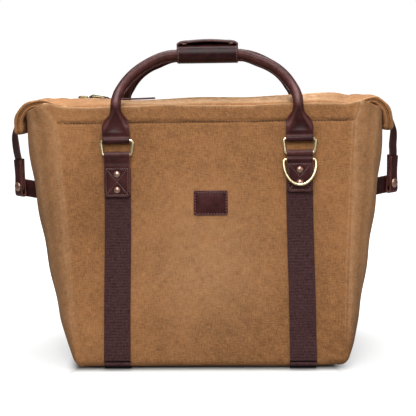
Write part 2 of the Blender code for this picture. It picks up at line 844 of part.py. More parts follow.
def make_slider(bench):
    """The zip slider, its pull loop and the leather pull tab, lying to the right."""
    low = chain_z() + TAPE_THICKNESS / 2 + CLEARANCE
    top = chain_z() + TOOTH_HEIGHT / 2 + CLEARANCE
    lid = top + SLIDER_LID
    wide = SLIDER_HALF_WIDTH
    slot = TOOTH_HALF + CLEARANCE
    half = [(0.0, lid), (wide, lid), (wide, low), (slot, low), (slot, top), (0.0, top)]
    outline = [(y, z - lid) for y, z in half]
    outline += [(-y, z - lid) for y, z in reversed(half[1:-1])]
    place = frame((SLIDER_X, 0.0, lid), (0, 1, 0), (0, 0, 1))
    slider = outline_solid(bench, "zip_slider", outline, SLIDER_LENGTH / 2, "brass", place)
    arch = outline_solid(
        bench,
        "zip_bridge",
        band(BRIDGE, BRIDGE_METAL),
        BRIDGE_HALF_WIDTH,
        "brass",
        frame((SLIDER_X, 0.0, lid - CLEARANCE), (1, 0, 0), (0, 0, 1)),
    )
    join = slider.modifiers.new("bridge", "BOOLEAN")
    join.operation = "UNION"
    join.solver = "EXACT"
    join.object = arch
    bench.parts.objects.unlink(arch)
    bench.cutters.objects.link(arch)
    arch.hide_render = True
    arch.display_type = "WIRE"
    pivot = Vector((SLIDER_X + PULL_PIVOT_X, 0.0, lid + PULL_PIVOT_RISE))
    run = PULL_LENGTH / 2
    loop = [(x + run, y, 0.0) for x, y in rounded_box(run, PULL_HALF_WIDTH, PULL_CORNER, 2)]
    wire(bench, "zip_pull", loop, PULL_WIRE, "brass", Matrix.Translation(pivot))
    tab = rounded_box(PULL_TAB_LENGTH / 2, PULL_TAB_HALF_WIDTH, PULL_TAB_LEATHER, 2)
    near = PULL_LENGTH + PULL_TAB_LENGTH / 2 + PULL_TAB_GAP
    place = Matrix.Translation(pivot + Vector((near, 0.0, PULL_TAB_LIFT)))
    outline_solid(bench, "zip_pull_tab", tab, PULL_TAB_LEATHER / 2, "leather", place)


def make_ears(bench):
    """The ends of the zip top that fold down over the gussets."""
    for side in (LEFT, RIGHT):
        hinge = Vector((side * EAR_HINGE_X, 0.0, EAR_HINGE_Z))
        local = []
        for i, (x, z) in enumerate(EAR_PATH):
            slide = BULGE_LEAN * (1 - i / 2) if i < 2 else 0.0
            local.append((side_x(side, x) + slide - hinge.x, z - hinge.z))
        place = frame(hinge, (1, 0, 0), (0, 0, 1))
        outline = band(local, EAR_THICKNESS)
        name = SIDE_NAMES[side] + "_ear"
        outline_solid(bench, name, outline, EAR_HALF_WIDTH, "canvas", place)


def keeper_axes(side):
    """A keeper's width and outward directions."""
    out = Vector((side * math.cos(END_STRAP_TURN), -math.sin(END_STRAP_TURN), 0.0))
    return out.cross(Vector((0, 0, 1))), out


def keeper_centre(side):
    """The vertical line through a keeper's middle, at the floor."""
    return Vector((side_x(side, KEEPER_X), KEEPER_Y, 0.0))


def make_end_straps(bench):
    """The leather straps from the ears, which twist on their way down into the keepers."""
    for side in (LEFT, RIGHT):
        rows = []
        for x, y, z, twist in END_STRAP_PATH:
            turn = END_STRAP_TURN * twist
            across = Vector((math.sin(turn), side * math.cos(turn), 0.0)) * side
            centre = Vector((side_x(side, x), y, z))
            rows.append([centre + across * END_STRAP_HALF, centre - across * END_STRAP_HALF])
        hinge_x, hinge_y, hinge_z, _ = END_STRAP_PATH[0]
        hinge = Matrix.Translation((side_x(side, hinge_x), hinge_y, hinge_z))
        name = SIDE_NAMES[side] + "_end_strap"
        sheet(bench, name, rows, END_STRAP_LEATHER, "leather", hinge)


def make_keepers(bench):
    """The keepers: a folded inner half, a leaf that opens, and the leaf's snap cap."""
    gap = KEEPER_GAP
    foot = KEEPER_FOOT
    corner = (gap - FOLD_RISE * 0.375, foot + FOLD_RISE / 4)
    fold = [(-gap, KEEPER_TOP), (-gap, foot + FOLD_RISE), (-corner[0], corner[1])]
    fold += [(-FOLD_FLAT, foot), (FOLD_FLAT, foot), corner]
    leaf = [(0.0, 0.0), (0.0, KEEPER_TOP - LEAF_SHORT - LEAF_FOOT)]
    shank = KEEPER_LEATHER / 2
    face = shank + CLEARANCE
    cap = [
        (0.0, -shank),
        (CAP_SHANK, -shank),
        (CAP_SHANK, face),
        (CAP_RADIUS, face),
        (CAP_RADIUS, face + CAP_RISE * 0.35),
        (CAP_RADIUS * 0.8, face + CAP_RISE * 0.75),
        (CAP_RADIUS * 0.4, face + CAP_RISE * 0.96),
        (0.0, face + CAP_RISE),
    ]
    for side in (LEFT, RIGHT):
        width, out = keeper_axes(side)
        centre = keeper_centre(side)
        name = SIDE_NAMES[side]
        outline_solid(
            bench,
            name + "_keeper",
            band(fold, KEEPER_LEATHER),
            KEEPER_HALF_WIDTH,
            "leather",
            frame(centre, out, (0, 0, 1)),
        )
        hinge = centre + out * gap + Vector((0, 0, LEAF_FOOT))
        opening = outline_solid(
            bench,
            name + "_keeper_leaf",
            band(leaf, KEEPER_LEATHER),
            KEEPER_HALF_WIDTH,
            "leather",
            frame(hinge, out, (0, 0, 1)),
        )
        place = frame(centre + out * gap + Vector((0, 0, CAP_Z)), (0, 0, 1), width)
        turned(bench, name + "_snap_cap", cap, "copper", place)
        bench.drill(place, CAP_SHANK + CLEARANCE, HOLE_REACH / 2, (opening,))


def make_side_tabs(bench):
    """The leather tabs that tie the keepers to the gussets."""
    thickness = SIDE_TAB_LEATHER
    heights = [SIDE_TAB_Z - SIDE_TAB_HALF, SIDE_TAB_Z, SIDE_TAB_Z + SIDE_TAB_HALF]
    for side in (LEFT, RIGHT):
        width, out = keeper_axes(side)
        if width.y > 0:
            width = -width
        centre = keeper_centre(side) - out * SIDE_TAB_OFFSET
        rows = []
        for y, off in SIDE_TAB_ROOT:
            reach = thickness / 2 + CLEARANCE * 3 + off
            rows.append([(gusset_x(side, y, z) + side * reach, y, z) for z in heights])
        for along in SIDE_TAB_RUN:
            point = centre + width * along
            rows.append([(point.x, point.y, z) for z in heights])
        sheet(bench, SIDE_NAMES[side] + "_side_tab", rows, thickness, "leather")


def make_patch(bench):
    """The blank leather patch on the front."""
    outline = rounded_box(PATCH_HALF_WIDTH, PATCH_HALF_HEIGHT, PATCH_CORNER)
    place = plate_frame(PATCH_X, PATCH_Z / math.cos(TILT), CLEARANCE + PATCH_LEATHER / 2)
    outline_solid(bench, "front_patch", outline, PATCH_LEATHER / 2, "leather", place)


def main():
    """Build the whole bag."""
    clear_scene()
    bench = Bench()
    panels = make_panels(bench)
    make_gussets(bench)
    make_base(bench)
    make_lining(bench)
    straps = make_webbing(bench)
    make_tabs(bench, panels, straps)
    make_rings(bench)
    make_handles(bench)
    make_grip(bench)
    make_zip_top(bench)
    make_slider(bench)
    make_ears(bench)
    make_end_straps(bench)
    make_keepers(bench)
    make_side_tabs(bench)
    make_patch(bench)


main()
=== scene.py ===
"""Looks of a zip-top tote bag in waxed canvas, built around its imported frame.

Units are metres, +Z is up and the front faces -Y. Shapes are numpy surfaces: a mid-surface on a
grid that gets a thickness, a profile carried along a path, or a turned profile.
"""

import logging
import math
from dataclasses import dataclass, field
from enum import Enum

import bmesh
import bpy
import numpy as np
from mathutils import Matrix


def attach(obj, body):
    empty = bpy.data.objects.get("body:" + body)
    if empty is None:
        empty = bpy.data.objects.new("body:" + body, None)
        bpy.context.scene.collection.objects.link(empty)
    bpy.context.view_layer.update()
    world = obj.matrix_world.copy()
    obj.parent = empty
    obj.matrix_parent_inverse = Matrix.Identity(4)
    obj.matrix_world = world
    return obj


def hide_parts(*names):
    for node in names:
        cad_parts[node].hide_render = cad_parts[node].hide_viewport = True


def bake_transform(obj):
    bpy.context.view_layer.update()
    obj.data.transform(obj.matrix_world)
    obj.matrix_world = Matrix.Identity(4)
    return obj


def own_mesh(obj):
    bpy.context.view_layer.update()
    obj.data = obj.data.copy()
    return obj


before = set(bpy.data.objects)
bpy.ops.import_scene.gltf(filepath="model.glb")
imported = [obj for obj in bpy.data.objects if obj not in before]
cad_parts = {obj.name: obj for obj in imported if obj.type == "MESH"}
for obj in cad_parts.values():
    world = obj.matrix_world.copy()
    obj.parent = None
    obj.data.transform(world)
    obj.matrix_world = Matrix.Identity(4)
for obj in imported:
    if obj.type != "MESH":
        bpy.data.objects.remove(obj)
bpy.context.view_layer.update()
LOG = logging.getLogger("tote")

CENTRE_X = 0.007
WELD = 2e-6
SHARP = math.radians(60.0)
RIM_ANGLES = np.radians([0.0, 24.0, 46.0, 68.0, 90.0])
TURNED_MAP = 0.004
VECTOR, VALUE = "NodeSocketVector", "NodeSocketFloat"


class Named(Enum):
    """A choice with a label for the names of pieces and bodies."""

    @property
    def label(self) -> str:
        """The choice's name in small letters."""
        return self.name.lower()


class Side(Named):
    """An end of the bag."""

    LEFT = -1
    RIGHT = 1


class Face(Named):
    """A broad face of the bag."""

    FRONT = -1
    BACK = 1


class Look(Enum):
    """A finish: its name, and the material slot of the record that it is for."""

    CANVAS = ("canvas", "canvas")
    CANVAS_THREAD = ("canvas_thread", "canvas")
    LINING = ("lining", "lining")
    LEATHER = ("leather", "leather")
    # A darker copy of the leather: painted shade for the grip.
    GRIP_LEATHER = ("grip_leather", "leather")
    LEATHER_THREAD = ("leather_thread", "leather")
    WEBBING = ("webbing", "webbing")
    BRASS = ("brass", "brass")
    ANTIQUE = ("antique", "brass")
    COPPER = ("copper", "copper")
    ZIP_CHAIN = ("zip_chain", "zip_chain")
    TAPE = ("tape", "zip_chain")
    CORD = ("cord", "cord")
    BOARD = ("board", "board")

    def __init__(self, label: str, slot: str) -> None:
        """Keep the finish's name and its slot."""
        self.label = label
        self.slot = slot


def unit(vectors: np.ndarray) -> np.ndarray:
    """Scale vectors to a length of one.

    Args:
        vectors: Array whose last axis is a vector.

    Returns:
        Array of the same shape.
    """
    size = np.linalg.norm(vectors, axis=-1, keepdims=True)
    return vectors / np.maximum(size, 1e-12)


def step(values: np.ndarray, start: float, end: float) -> np.ndarray:
    """Ease from 0 at start to 1 at end: 3t^2 - 2t^3 of the clipped share.

    Args:
        values: Where to work it out.
        start: Value that gives 0.
        end: Value that gives 1.

    Returns:
        Array of shares.
    """
    share = np.clip((np.asarray(values) - start) / (end - start), 0.0, 1.0)
    return share * share * (3.0 - 2.0 * share)


def bump(values: np.ndarray, centre: float, width: float) -> np.ndarray:
    """A bell of height one: exp(-((v - centre) / width)^2)."""
    return np.exp(-(((np.asarray(values) - centre) / width) ** 2))


def lines(count: int, length: float, rim: float) -> np.ndarray:
    """Shares of a run for grid lines: even inside, spaced like a quarter round at both ends.

    Args:
        count: Lines between the two rims.
        length: Length of the run.
        rim: Width of the rounded rim at each end.

    Returns:
        Rising shares from 0 to 1.
    """
    quarter = rim * (1.0 - np.cos(RIM_ANGLES))
    inside = np.linspace(rim, length - rim, count)
    return np.concatenate([quarter[:-1], inside, length - quarter[:-1][::-1]]) / length


def arc_points(
    centre: tuple[float, float], radius: float, start: float, end: float, count: int
) -> np.ndarray:
    """Points on an arc, angles in degrees.

    Args:
        centre: Middle of the circle.
        radius: Its radius.
        start: First angle.
        end: Last angle.
        count: Steps between them.

    Returns:
        Array of (count + 1) plane points.
    """
    a = np.radians(np.linspace(start, end, count + 1))
    return np.stack([centre[0] + radius * np.cos(a), centre[1] + radius * np.sin(a)], -1)


def along(path: np.ndarray) -> np.ndarray:
    """Distance run along a path at each of its points."""
    return np.concatenate([[0.0], np.cumsum(np.linalg.norm(np.diff(path, axis=0), axis=1))])


def sampled(values: np.ndarray, run: np.ndarray, at: np.ndarray) -> np.ndarray:
    """Rows of values known at the distances run, by straight interpolation at other distances."""
    return np.stack([np.interp(at, run, values[:, k]) for k in range(values.shape[1])], -1)


def resample(path: np.ndarray, at: np.ndarray) -> np.ndarray:
    """Points of a path at given distances along it."""
    return sampled(path, along(path), at)


def rim_spaced(path: np.ndarray, count: int, rim: float) -> tuple[np.ndarray, np.ndarray]:
    """Points of a path spaced for rounded ends.

    Args:
        path: Points, one a row.
        count: Points between the two rims.
        rim: Width of the rounded rim at each end.

    Returns:
        Array of points and the distance run to each.
    """
    total = along(path)[-1]
    run = lines(count, total, rim) * total
    return resample(path, run), run


def closed_loop(points: np.ndarray, count: int) -> np.ndarray:
    """Evenly spaced points round a path that closes on its first point."""
    path = np.concatenate([points, points[:1]])
    return resample(path, np.linspace(0.0, along(path)[-1], count + 1)[:-1])


def span(count: int, half: float, rim: float) -> np.ndarray:
    """Shares across a strip, -1 to 1, spaced for rounded edges."""
    return lines(count, 2 * half, rim) * 2.0 - 1.0


def dome(radius: float, base: float, rise: float) -> np.ndarray:
    """Radius and height pairs of a flattened quarter circle that closes on the axis."""
    a = np.radians(np.linspace(0.0, 90.0, 9))
    return np.stack([radius * np.cos(a), base + rise * np.sin(a)], -1)


def eased_path(points: list | np.ndarray, count: int) -> np.ndarray:
    """A smooth path through points: Catmull-Rom cubics, evenly spaced in length.

    Args:
        points: Points to pass through.
        count: Points of the result.

    Returns:
        Array of points.
    """
    p = np.asarray(points, float)
    p = np.concatenate([[2 * p[0] - p[1]], p, [2 * p[-1] - p[-2]]])
    t = np.linspace(0.0, len(p) - 3, 24 * (len(p) - 3) + 1)
    i = np.minimum(t.astype(int), len(p) - 4)
    f = (t - i)[:, None]
    a, b, c, d = p[i], p[i + 1], p[i + 2], p[i + 3]
    curve = 0.5 * (2 * b + (c - a) * f + (2 * a - 5 * b + 4 * c - d) * f**2 + (3 * b - a - 3 * c + d) * f**3)
    return resample(curve, np.linspace(0.0, along(curve)[-1], count))


def grid_normals(points: np.ndarray) -> np.ndarray:
    """Unit normals of a grid: the cross product of its two parameter directions."""
    return unit(np.cross(np.gradient(points, axis=0), np.gradient(points, axis=1)))


def grid_quads(rows: int, columns: int, loop: bool, start: int = 0) -> np.ndarray:
    """Quads of a grid of points.

    Args:
        rows: Points along the first axis.
        columns: Points along the second axis.
        loop: Whether the second axis closes on itself.
        start: Number of the first point.

    Returns:
        Array of quads.
    """
    number = np.arange(rows * columns).reshape(rows, columns) + start
    if loop:
        number = np.concatenate([number, number[:, :1]], 1)
    corners = [number[:-1, :-1], number[1:, :-1], number[1:, 1:], number[:-1, 1:]]
    return np.stack(corners, -1).reshape(-1, 4)


@dataclass
class Surface:
    """Points, quads, a flat map in metres and a mask of wear and painted shading, before they become a mesh.
    """

    points: np.ndarray
    quads: np.ndarray
    flat: np.ndarray
    wear: np.ndarray

    def outward(self) -> "Surface":
        """Turn the quads round where the signed volume of the closed shape is negative.

        Returns:
            The same surface.
        """
        p = self.points[self.quads]
        volume = np.einsum("ij,ij->i", p[:, 0], np.cross(p[:, 1], p[:, 2]) + np.cross(p[:, 2], p[:, 3])).sum()
        if volume < 0:
            self.quads = self.quads[:, ::-1]
        return self

    def moved(self, change: np.ndarray, shift: np.ndarray) -> "Surface":
        """Apply a 3 by 3 change and a shift to the points, and keep the quads facing outward.

        Args:
            change: Matrix that multiplies each point.
            shift: Vector that is then added.

        Returns:
            A new surface.
        """
        quads = self.quads[:, ::-1] if np.linalg.det(change) < 0 else self.quads
        return Surface(self.points @ change.T + shift, quads, self.flat, self.wear)

    def turned(self, face: Face) -> "Surface":
        """A front piece as it is, or for the back half a turn about the bag's upright axis."""
        back = self.moved(np.diag([-1.0, -1.0, 1.0]), np.array([2 * CENTRE_X, 0.0, 0.0]))
        return self if face is Face.FRONT else back

    def mirrored(self, face: Face) -> "Surface":
        """A front piece as it is, or for the back its mirror image."""
        back = self.moved(np.diag([1.0, -1.0, 1.0]), np.zeros(3))
        return self if face is Face.FRONT else back


def rolled(points: np.ndarray, flat: np.ndarray, wear: np.ndarray | None = None) -> Surface:
    """A closed surface on a grid whose second axis closes on itself.

    Args:
        points: Grid of points.
        flat: Flat map for each point.
        wear: Mask of wear and painted shading for each point, none if left out.

    Returns:
        The closed surface.
    """
    wear = np.zeros(points.shape[:2]) if wear is None else wear
    quads = grid_quads(*points.shape[:2], True)
    return Surface(points.reshape(-1, 3), quads, flat.reshape(-1, 2), wear.ravel()).outward()


def repeated(points: np.ndarray) -> Surface:
    """Copies of a small closed form.

    Args:
        points: A grid for each copy, whose second axis closes on itself.

    Returns:
        One surface with all the copies.
    """
    count, rows, columns = points.shape[:3]
    starts = np.arange(count) * rows * columns
    quads = (grid_quads(rows, columns, True)[None] + starts[:, None, None]).reshape(-1, 4)
    points = points.reshape(-1, 3)
    return Surface(points, quads, points[:, :2].copy(), np.zeros(len(points))).outward()


def edge_distance(points: np.ndarray, path: np.ndarray) -> np.ndarray:
    """Distance of plane points from a path of straight pieces.

    Args:
        points: Array of plane points.
        path: Corners of the path.

    Returns:
        Array of distances.
    """
    start, run = path[:-1], np.diff(path, axis=0)
    offset = points[..., None, :] - start
    share = np.clip((offset * run).sum(-1) / (run * run).sum(-1), 0.0, 1.0)
    return np.linalg.norm(offset - share[..., None] * run, axis=-1).min(-1)


def joined(parts: list[Surface]) -> Surface:
    """Put several surfaces in one.

    Args:
        parts: Surfaces to join.

    Returns:
        One surface.
    """
    starts = np.cumsum([0] + [len(s.points) for s in parts[:-1]])
    return Surface(
        np.concatenate([s.points for s in parts]),
        np.concatenate([s.quads + n for s, n in zip(parts, starts)]),
        np.concatenate([s.flat for s in parts]),
        np.concatenate([s.wear for s in parts]),
    )


def metric_map(points: np.ndarray) -> np.ndarray:
    """A flat map of a grid in metres: distance run along each parameter line.

    Args:
        points: Grid of points.

    Returns:
        Grid of plane coordinates.
    """
    du = np.linalg.norm(np.diff(points, axis=0), axis=2)
    dv = np.linalg.norm(np.diff(points, axis=1), axis=2)
    u = np.concatenate([np.zeros((1, points.shape[1])), np.cumsum(du, 0)])
    v = np.concatenate([np.zeros((points.shape[0], 1)), np.cumsum(dv, 1)], 1)
    return np.stack([u, v], -1)


def shell(
    middle: np.ndarray,
    thickness: float | np.ndarray,
    rim: float | None = None,
    open_start: bool = False,
    open_end: bool = False,
    loop: bool = False,
    wear: np.ndarray | None = None,
    flat: np.ndarray | None = None,
) -> Surface:
    """A closed sheet about a mid-surface.

    Each point goes both ways along its normal by h = t/2 * sqrt(1 - (1 - d/r)^2), where d is the
    distance to the nearest edge and r the rim, so the edges are half round. An open end of the
    first axis keeps its full thickness and gets a flat cap, to meet its neighbour flush.

    Args:
        middle: Grid of mid-surface points.
        thickness: Full thickness, or one for each point.
        rim: Width of the rounded edge, half the thickness if left out.
        open_start: Whether the first row is cut flat.
        open_end: Whether the last row is cut flat.
        loop: Whether the second axis closes on itself.
        wear: Mask of wear and painted shading for each point.
        flat: Flat map for each point, measured if left out.

    Returns:
        The closed surface.
    """
    rows, columns = middle.shape[:2]
    across = metric_map(middle)
    half = np.broadcast_to(np.asarray(thickness) / 2, (rows, columns))
    edge = np.full((rows, columns), np.inf)
    if not open_start:
        edge = np.minimum(edge, across[..., 0])
    if not open_end:
        edge = np.minimum(edge, across[-1:, :, 0] - across[..., 0])
    if not loop:
        edge = np.minimum(edge, np.minimum(across[..., 1], across[:, -1:, 1] - across[..., 1]))
    width = half.max() if rim is None else rim
    lift = half * np.sqrt(1.0 - (1.0 - np.minimum(edge / width, 1.0)) ** 2)
    if loop:
        wrapped = np.concatenate([middle[:, -1:], middle, middle[:, :1]], 1)
        normal = grid_normals(wrapped)[:, 1:-1]
    else:
        normal = grid_normals(middle)
    upper = middle + normal * lift[..., None]
    lower = middle - normal * lift[..., None]
    count = rows * columns
    quads = [grid_quads(rows, columns, loop), grid_quads(rows, columns, loop, count)[:, ::-1]]
    number = np.arange(count).reshape(rows, columns)
    for is_open, line in ((open_start, number[0]), (open_end, number[-1][::-1])):
        if is_open:
            quads.append(np.stack([line[:-1], line[1:], line[1:] + count, line[:-1] + count], -1))
    flat = across if flat is None else flat
    wear = np.zeros((rows, columns)) if wear is None else wear
    return Surface(
        np.concatenate([upper.reshape(-1, 3), lower.reshape(-1, 3)]),
        np.concatenate(quads),
        np.concatenate([flat.reshape(-1, 2)] * 2),
        np.concatenate([wear.ravel()] * 2),
    ).outward()


def tube(
    path: np.ndarray, radius: float | np.ndarray, reference: np.ndarray, sides: int = 16, closed: bool = False
) -> Surface:
    """A round bar along a path: a circle in the plane of the reference and the side direction.

    An open bar ends in half balls: its radius follows r * sqrt(1 - (1 - d/r)^2) near the ends.

    Args:
        path: Points of the centre line.
        radius: Radius, or one for each point.
        reference: Direction that stays in the circle's plane.
        sides: Points round the circle.
        closed: Whether the path closes on itself.

    Returns:
        The closed surface.
    """
    if closed:
        tangent = unit(np.roll(path, -1, 0) - np.roll(path, 1, 0))
        path = np.concatenate([path, path[:1]])
        tangent = np.concatenate([tangent, tangent[:1]])
        size = np.broadcast_to(radius, len(path))
        run = along(path)
    else:
        run = along(path)
        ball = float(np.max(radius))
        marks = lines(len(path), run[-1], ball) * run[-1]
        size = np.interp(marks, run, np.broadcast_to(radius, len(path)))
        path = resample(path, marks)
        tangent = unit(np.gradient(path, axis=0))
        ends = np.minimum(marks, run[-1] - marks)
        size = size * np.sqrt(1.0 - (1.0 - np.minimum(ends / ball, 1.0)) ** 2)
        run = marks
    sideways = unit(np.cross(tangent, reference))
    upright = np.cross(sideways, tangent)
    a = np.linspace(0.0, 2 * np.pi, sides, endpoint=False)
    spoke = sideways[:, None] * np.cos(a)[None, :, None] + upright[:, None] * np.sin(a)[None, :, None]
    points = path[:, None] + spoke * size[:, None, None]
    flat = np.stack(np.broadcast_arrays(a[None, :] * float(np.max(radius)), run[:, None]), -1)
    return rolled(points, flat)


def turned_form(profile: list | np.ndarray, origin: np.ndarray, axis: np.ndarray, sides: int = 28) -> Surface:
    """A turned piece: a (radius, height) profile, from axis to axis, carried round an axis.

    Args:
        profile: Radius and height pairs.
        origin: Where height 0 is on the axis.
        axis: Direction of the heights.
        sides: Points round the axis.

    Returns:
        The closed surface.
    """
    profile = np.asarray(profile, float)
    axis = unit(np.asarray(axis, float))
    helper = np.array([1.0, 0.0, 0.0]) if abs(axis[0]) < 0.8 else np.array([0.0, 0.0, 1.0])
    first = unit(np.cross(axis, helper))
    second = np.cross(axis, first)
    a = np.linspace(0.0, 2 * np.pi, sides, endpoint=False)
    ring = first * np.cos(a)[:, None] + second * np.sin(a)[:, None]
    points = origin + ring[None] * profile[:, :1, None] + axis * profile[:, 1:, None]
    flat = np.stack(np.broadcast_arrays(a[None, :] * TURNED_MAP, along(profile)[:, None]), -1)
    return rolled(points, flat)


@dataclass(frozen=True)
class Sewing:
    """A kind of stitching: pitch, half the thread's thickness, and stitch length over pitch."""

    pitch: float
    radius: float
    share: float = 0.72


def stitches(path: np.ndarray, normal: np.ndarray, sewing: Sewing) -> Surface:
    """A row of sewn stitches: short spindles spaced evenly along a path, a little sunk.

    One spindle is a six-sided tube of five rings, placed at every step by broadcasting.

    Args:
        path: Points of the seam on the surface.
        normal: Outward direction at each point, or one for all.
        sewing: Size of the stitches.

    Returns:
        One surface with all the stitches.
    """
    run = along(path)
    count = max(1, int(round(run[-1] / sewing.pitch)))
    at = (np.arange(count) + 0.5) * run[-1] / count
    centre = resample(path, at)
    tangent = unit(sampled(np.gradient(path, run, axis=0), run, at))
    outward = unit(sampled(np.broadcast_to(normal, path.shape), run, at))
    sideways = np.cross(outward, tangent)
    station = np.array([-1.0, -0.72, 0.0, 0.72, 1.0]) * sewing.pitch * sewing.share / 2
    size = np.array([0.0, 0.78, 1.0, 0.78, 0.0])[:, None] * sewing.radius
    a = np.linspace(0.0, 2 * np.pi, 6, endpoint=False)
    return repeated(
        centre[:, None, None]
        + tangent[:, None, None] * station[None, :, None, None]
        + sideways[:, None, None] * (size * np.cos(a))[None, :, :, None]
        + outward[:, None, None] * (size * (np.sin(a) * 0.8 + 0.35))[None, :, :, None]
    )


class Graph:
    """A small helper that adds shader nodes and links to a tree."""

    def __init__(self, tree: bpy.types.NodeTree) -> None:
        """Keep the tree that nodes are added to."""
        self.tree = tree

    def add(self, kind: str, inputs: dict | None = None, **settings: object) -> bpy.types.Node:
        """Add a node.

        Args:
            kind: Node type name, without the ShaderNode prefix.
            inputs: Values or sockets by input name or number.
            settings: Properties of the node.

        Returns:
            The node.
        """
        node = self.tree.nodes.new(kind if kind.startswith("Node") else "ShaderNode" + kind)
        for name, value in settings.items():
            setattr(node, name, value)
        return self.fill(node, inputs or {})

    def fill(self, node: bpy.types.Node, inputs: dict) -> bpy.types.Node:
        """Set or link inputs of a node.

        Args:
            node: The node.
            inputs: Values or sockets by input name or number.

        Returns:
            The same node.
        """
        for name, value in inputs.items():
            if isinstance(value, bpy.types.NodeSocket):
                self.tree.links.new(value, node.inputs[name])
            else:
                node.inputs[name].default_value = value
        return node

    def place(self) -> bpy.types.NodeSocket:
        """Object coordinates."""
        return self.add("TexCoord").outputs["Object"]

    def flat_map(self) -> bpy.types.NodeSocket:
        """The flat map in metres."""
        return self.add("UVMap", uv_map="UVMap").outputs[0]

    def wear(self) -> bpy.types.NodeSocket:
        """The mask of wear and painted shading."""
        return self.add("Attribute", attribute_name="wear").outputs["Fac"]

    def math(self, operation: str, first: object, second: object = 0.0) -> bpy.types.NodeSocket:
        """Add a math node and give its output socket."""
        return self.add("Math", {0: first, 1: second}, operation=operation).outputs[0]

    def noise(
        self, vector: object, scale: float, detail: float = 3.0, roughness: float = 0.55
    ) -> bpy.types.NodeSocket:
        """Add a noise texture and give its value socket."""
        inputs = {"Vector": vector, "Scale": scale, "Detail": detail, "Roughness": roughness}
        return self.add("TexNoise", inputs).outputs[0]

    def spread(self, value: object, low: float, high: float) -> bpy.types.NodeSocket:
        """Stretch a value so that low becomes 0 and high becomes 1, clipped."""
        return self.add("MapRange", {"Value": value, "From Min": low, "From Max": high}).outputs[0]

    def stretched(self, vector: object, scale: tuple[float, float, float]) -> bpy.types.NodeSocket:
        """Scale a vector by axis, for streaks."""
        return self.add("VectorMath", {0: vector, 1: scale}, operation="MULTIPLY").outputs[0]

    def weighted(self, *terms: tuple, shift: float | None = None) -> bpy.types.NodeSocket:
        """Add up sockets, each times its own weight, and then a shift.

        Args:
            terms: Pairs of a socket and its weight.
            shift: Value added last, none if left out.

        Returns:
            The sum's socket.
        """
        parts = [self.math("MULTIPLY", value, weight) for value, weight in terms]
        total = parts[0]
        for part in parts[1:] if shift is None else [*parts[1:], shift]:
            total = self.math("ADD", total, part)
        return total

    def mix(self, factor: object, first: object, second: object) -> bpy.types.NodeSocket:
        """Mix two colours and give the colour socket."""
        pair = [c if isinstance(c, bpy.types.NodeSocket) else (*c, 1.0) for c in (first, second)]
        return self.add("Mix", {0: factor, 6: pair[0], 7: pair[1]}, data_type="RGBA").outputs[2]

    def bump(self, height: object, depth: float, strength: float) -> bpy.types.NodeSocket:
        """Turn a height, whose 1 is a depth in metres, into a normal."""
        inputs = {"Height": height, "Distance": depth, "Strength": strength}
        return self.add("Bump", inputs).outputs[0]

    def group(self, tree: bpy.types.NodeTree, inputs: dict) -> bpy.types.NodeOutputs:
        """Place a node group with its own values and give its outputs."""
        return self.add("Group", inputs, node_tree=tree).outputs


def new_group(name: str, inputs: dict, outputs: list[str]) -> tuple[Graph, dict, bpy.types.Node]:
    """Start a shader node group.

    Args:
        name: Name of the group.
        inputs: Socket kinds by name.
        outputs: Names of value outputs.

    Returns:
        Its graph, its input sockets by name and its output node.
    """
    tree = bpy.data.node_groups.new(name, "ShaderNodeTree")
    for label, kind in inputs.items():
        tree.interface.new_socket(label, in_out="INPUT", socket_type=kind)
    for label in outputs:
        tree.interface.new_socket(label, in_out="OUTPUT", socket_type=VALUE)
    graph = Graph(tree)
    source = graph.add("NodeGroupInput")
    return graph, {label: source.outputs[label] for label in inputs}, graph.add("NodeGroupOutput")


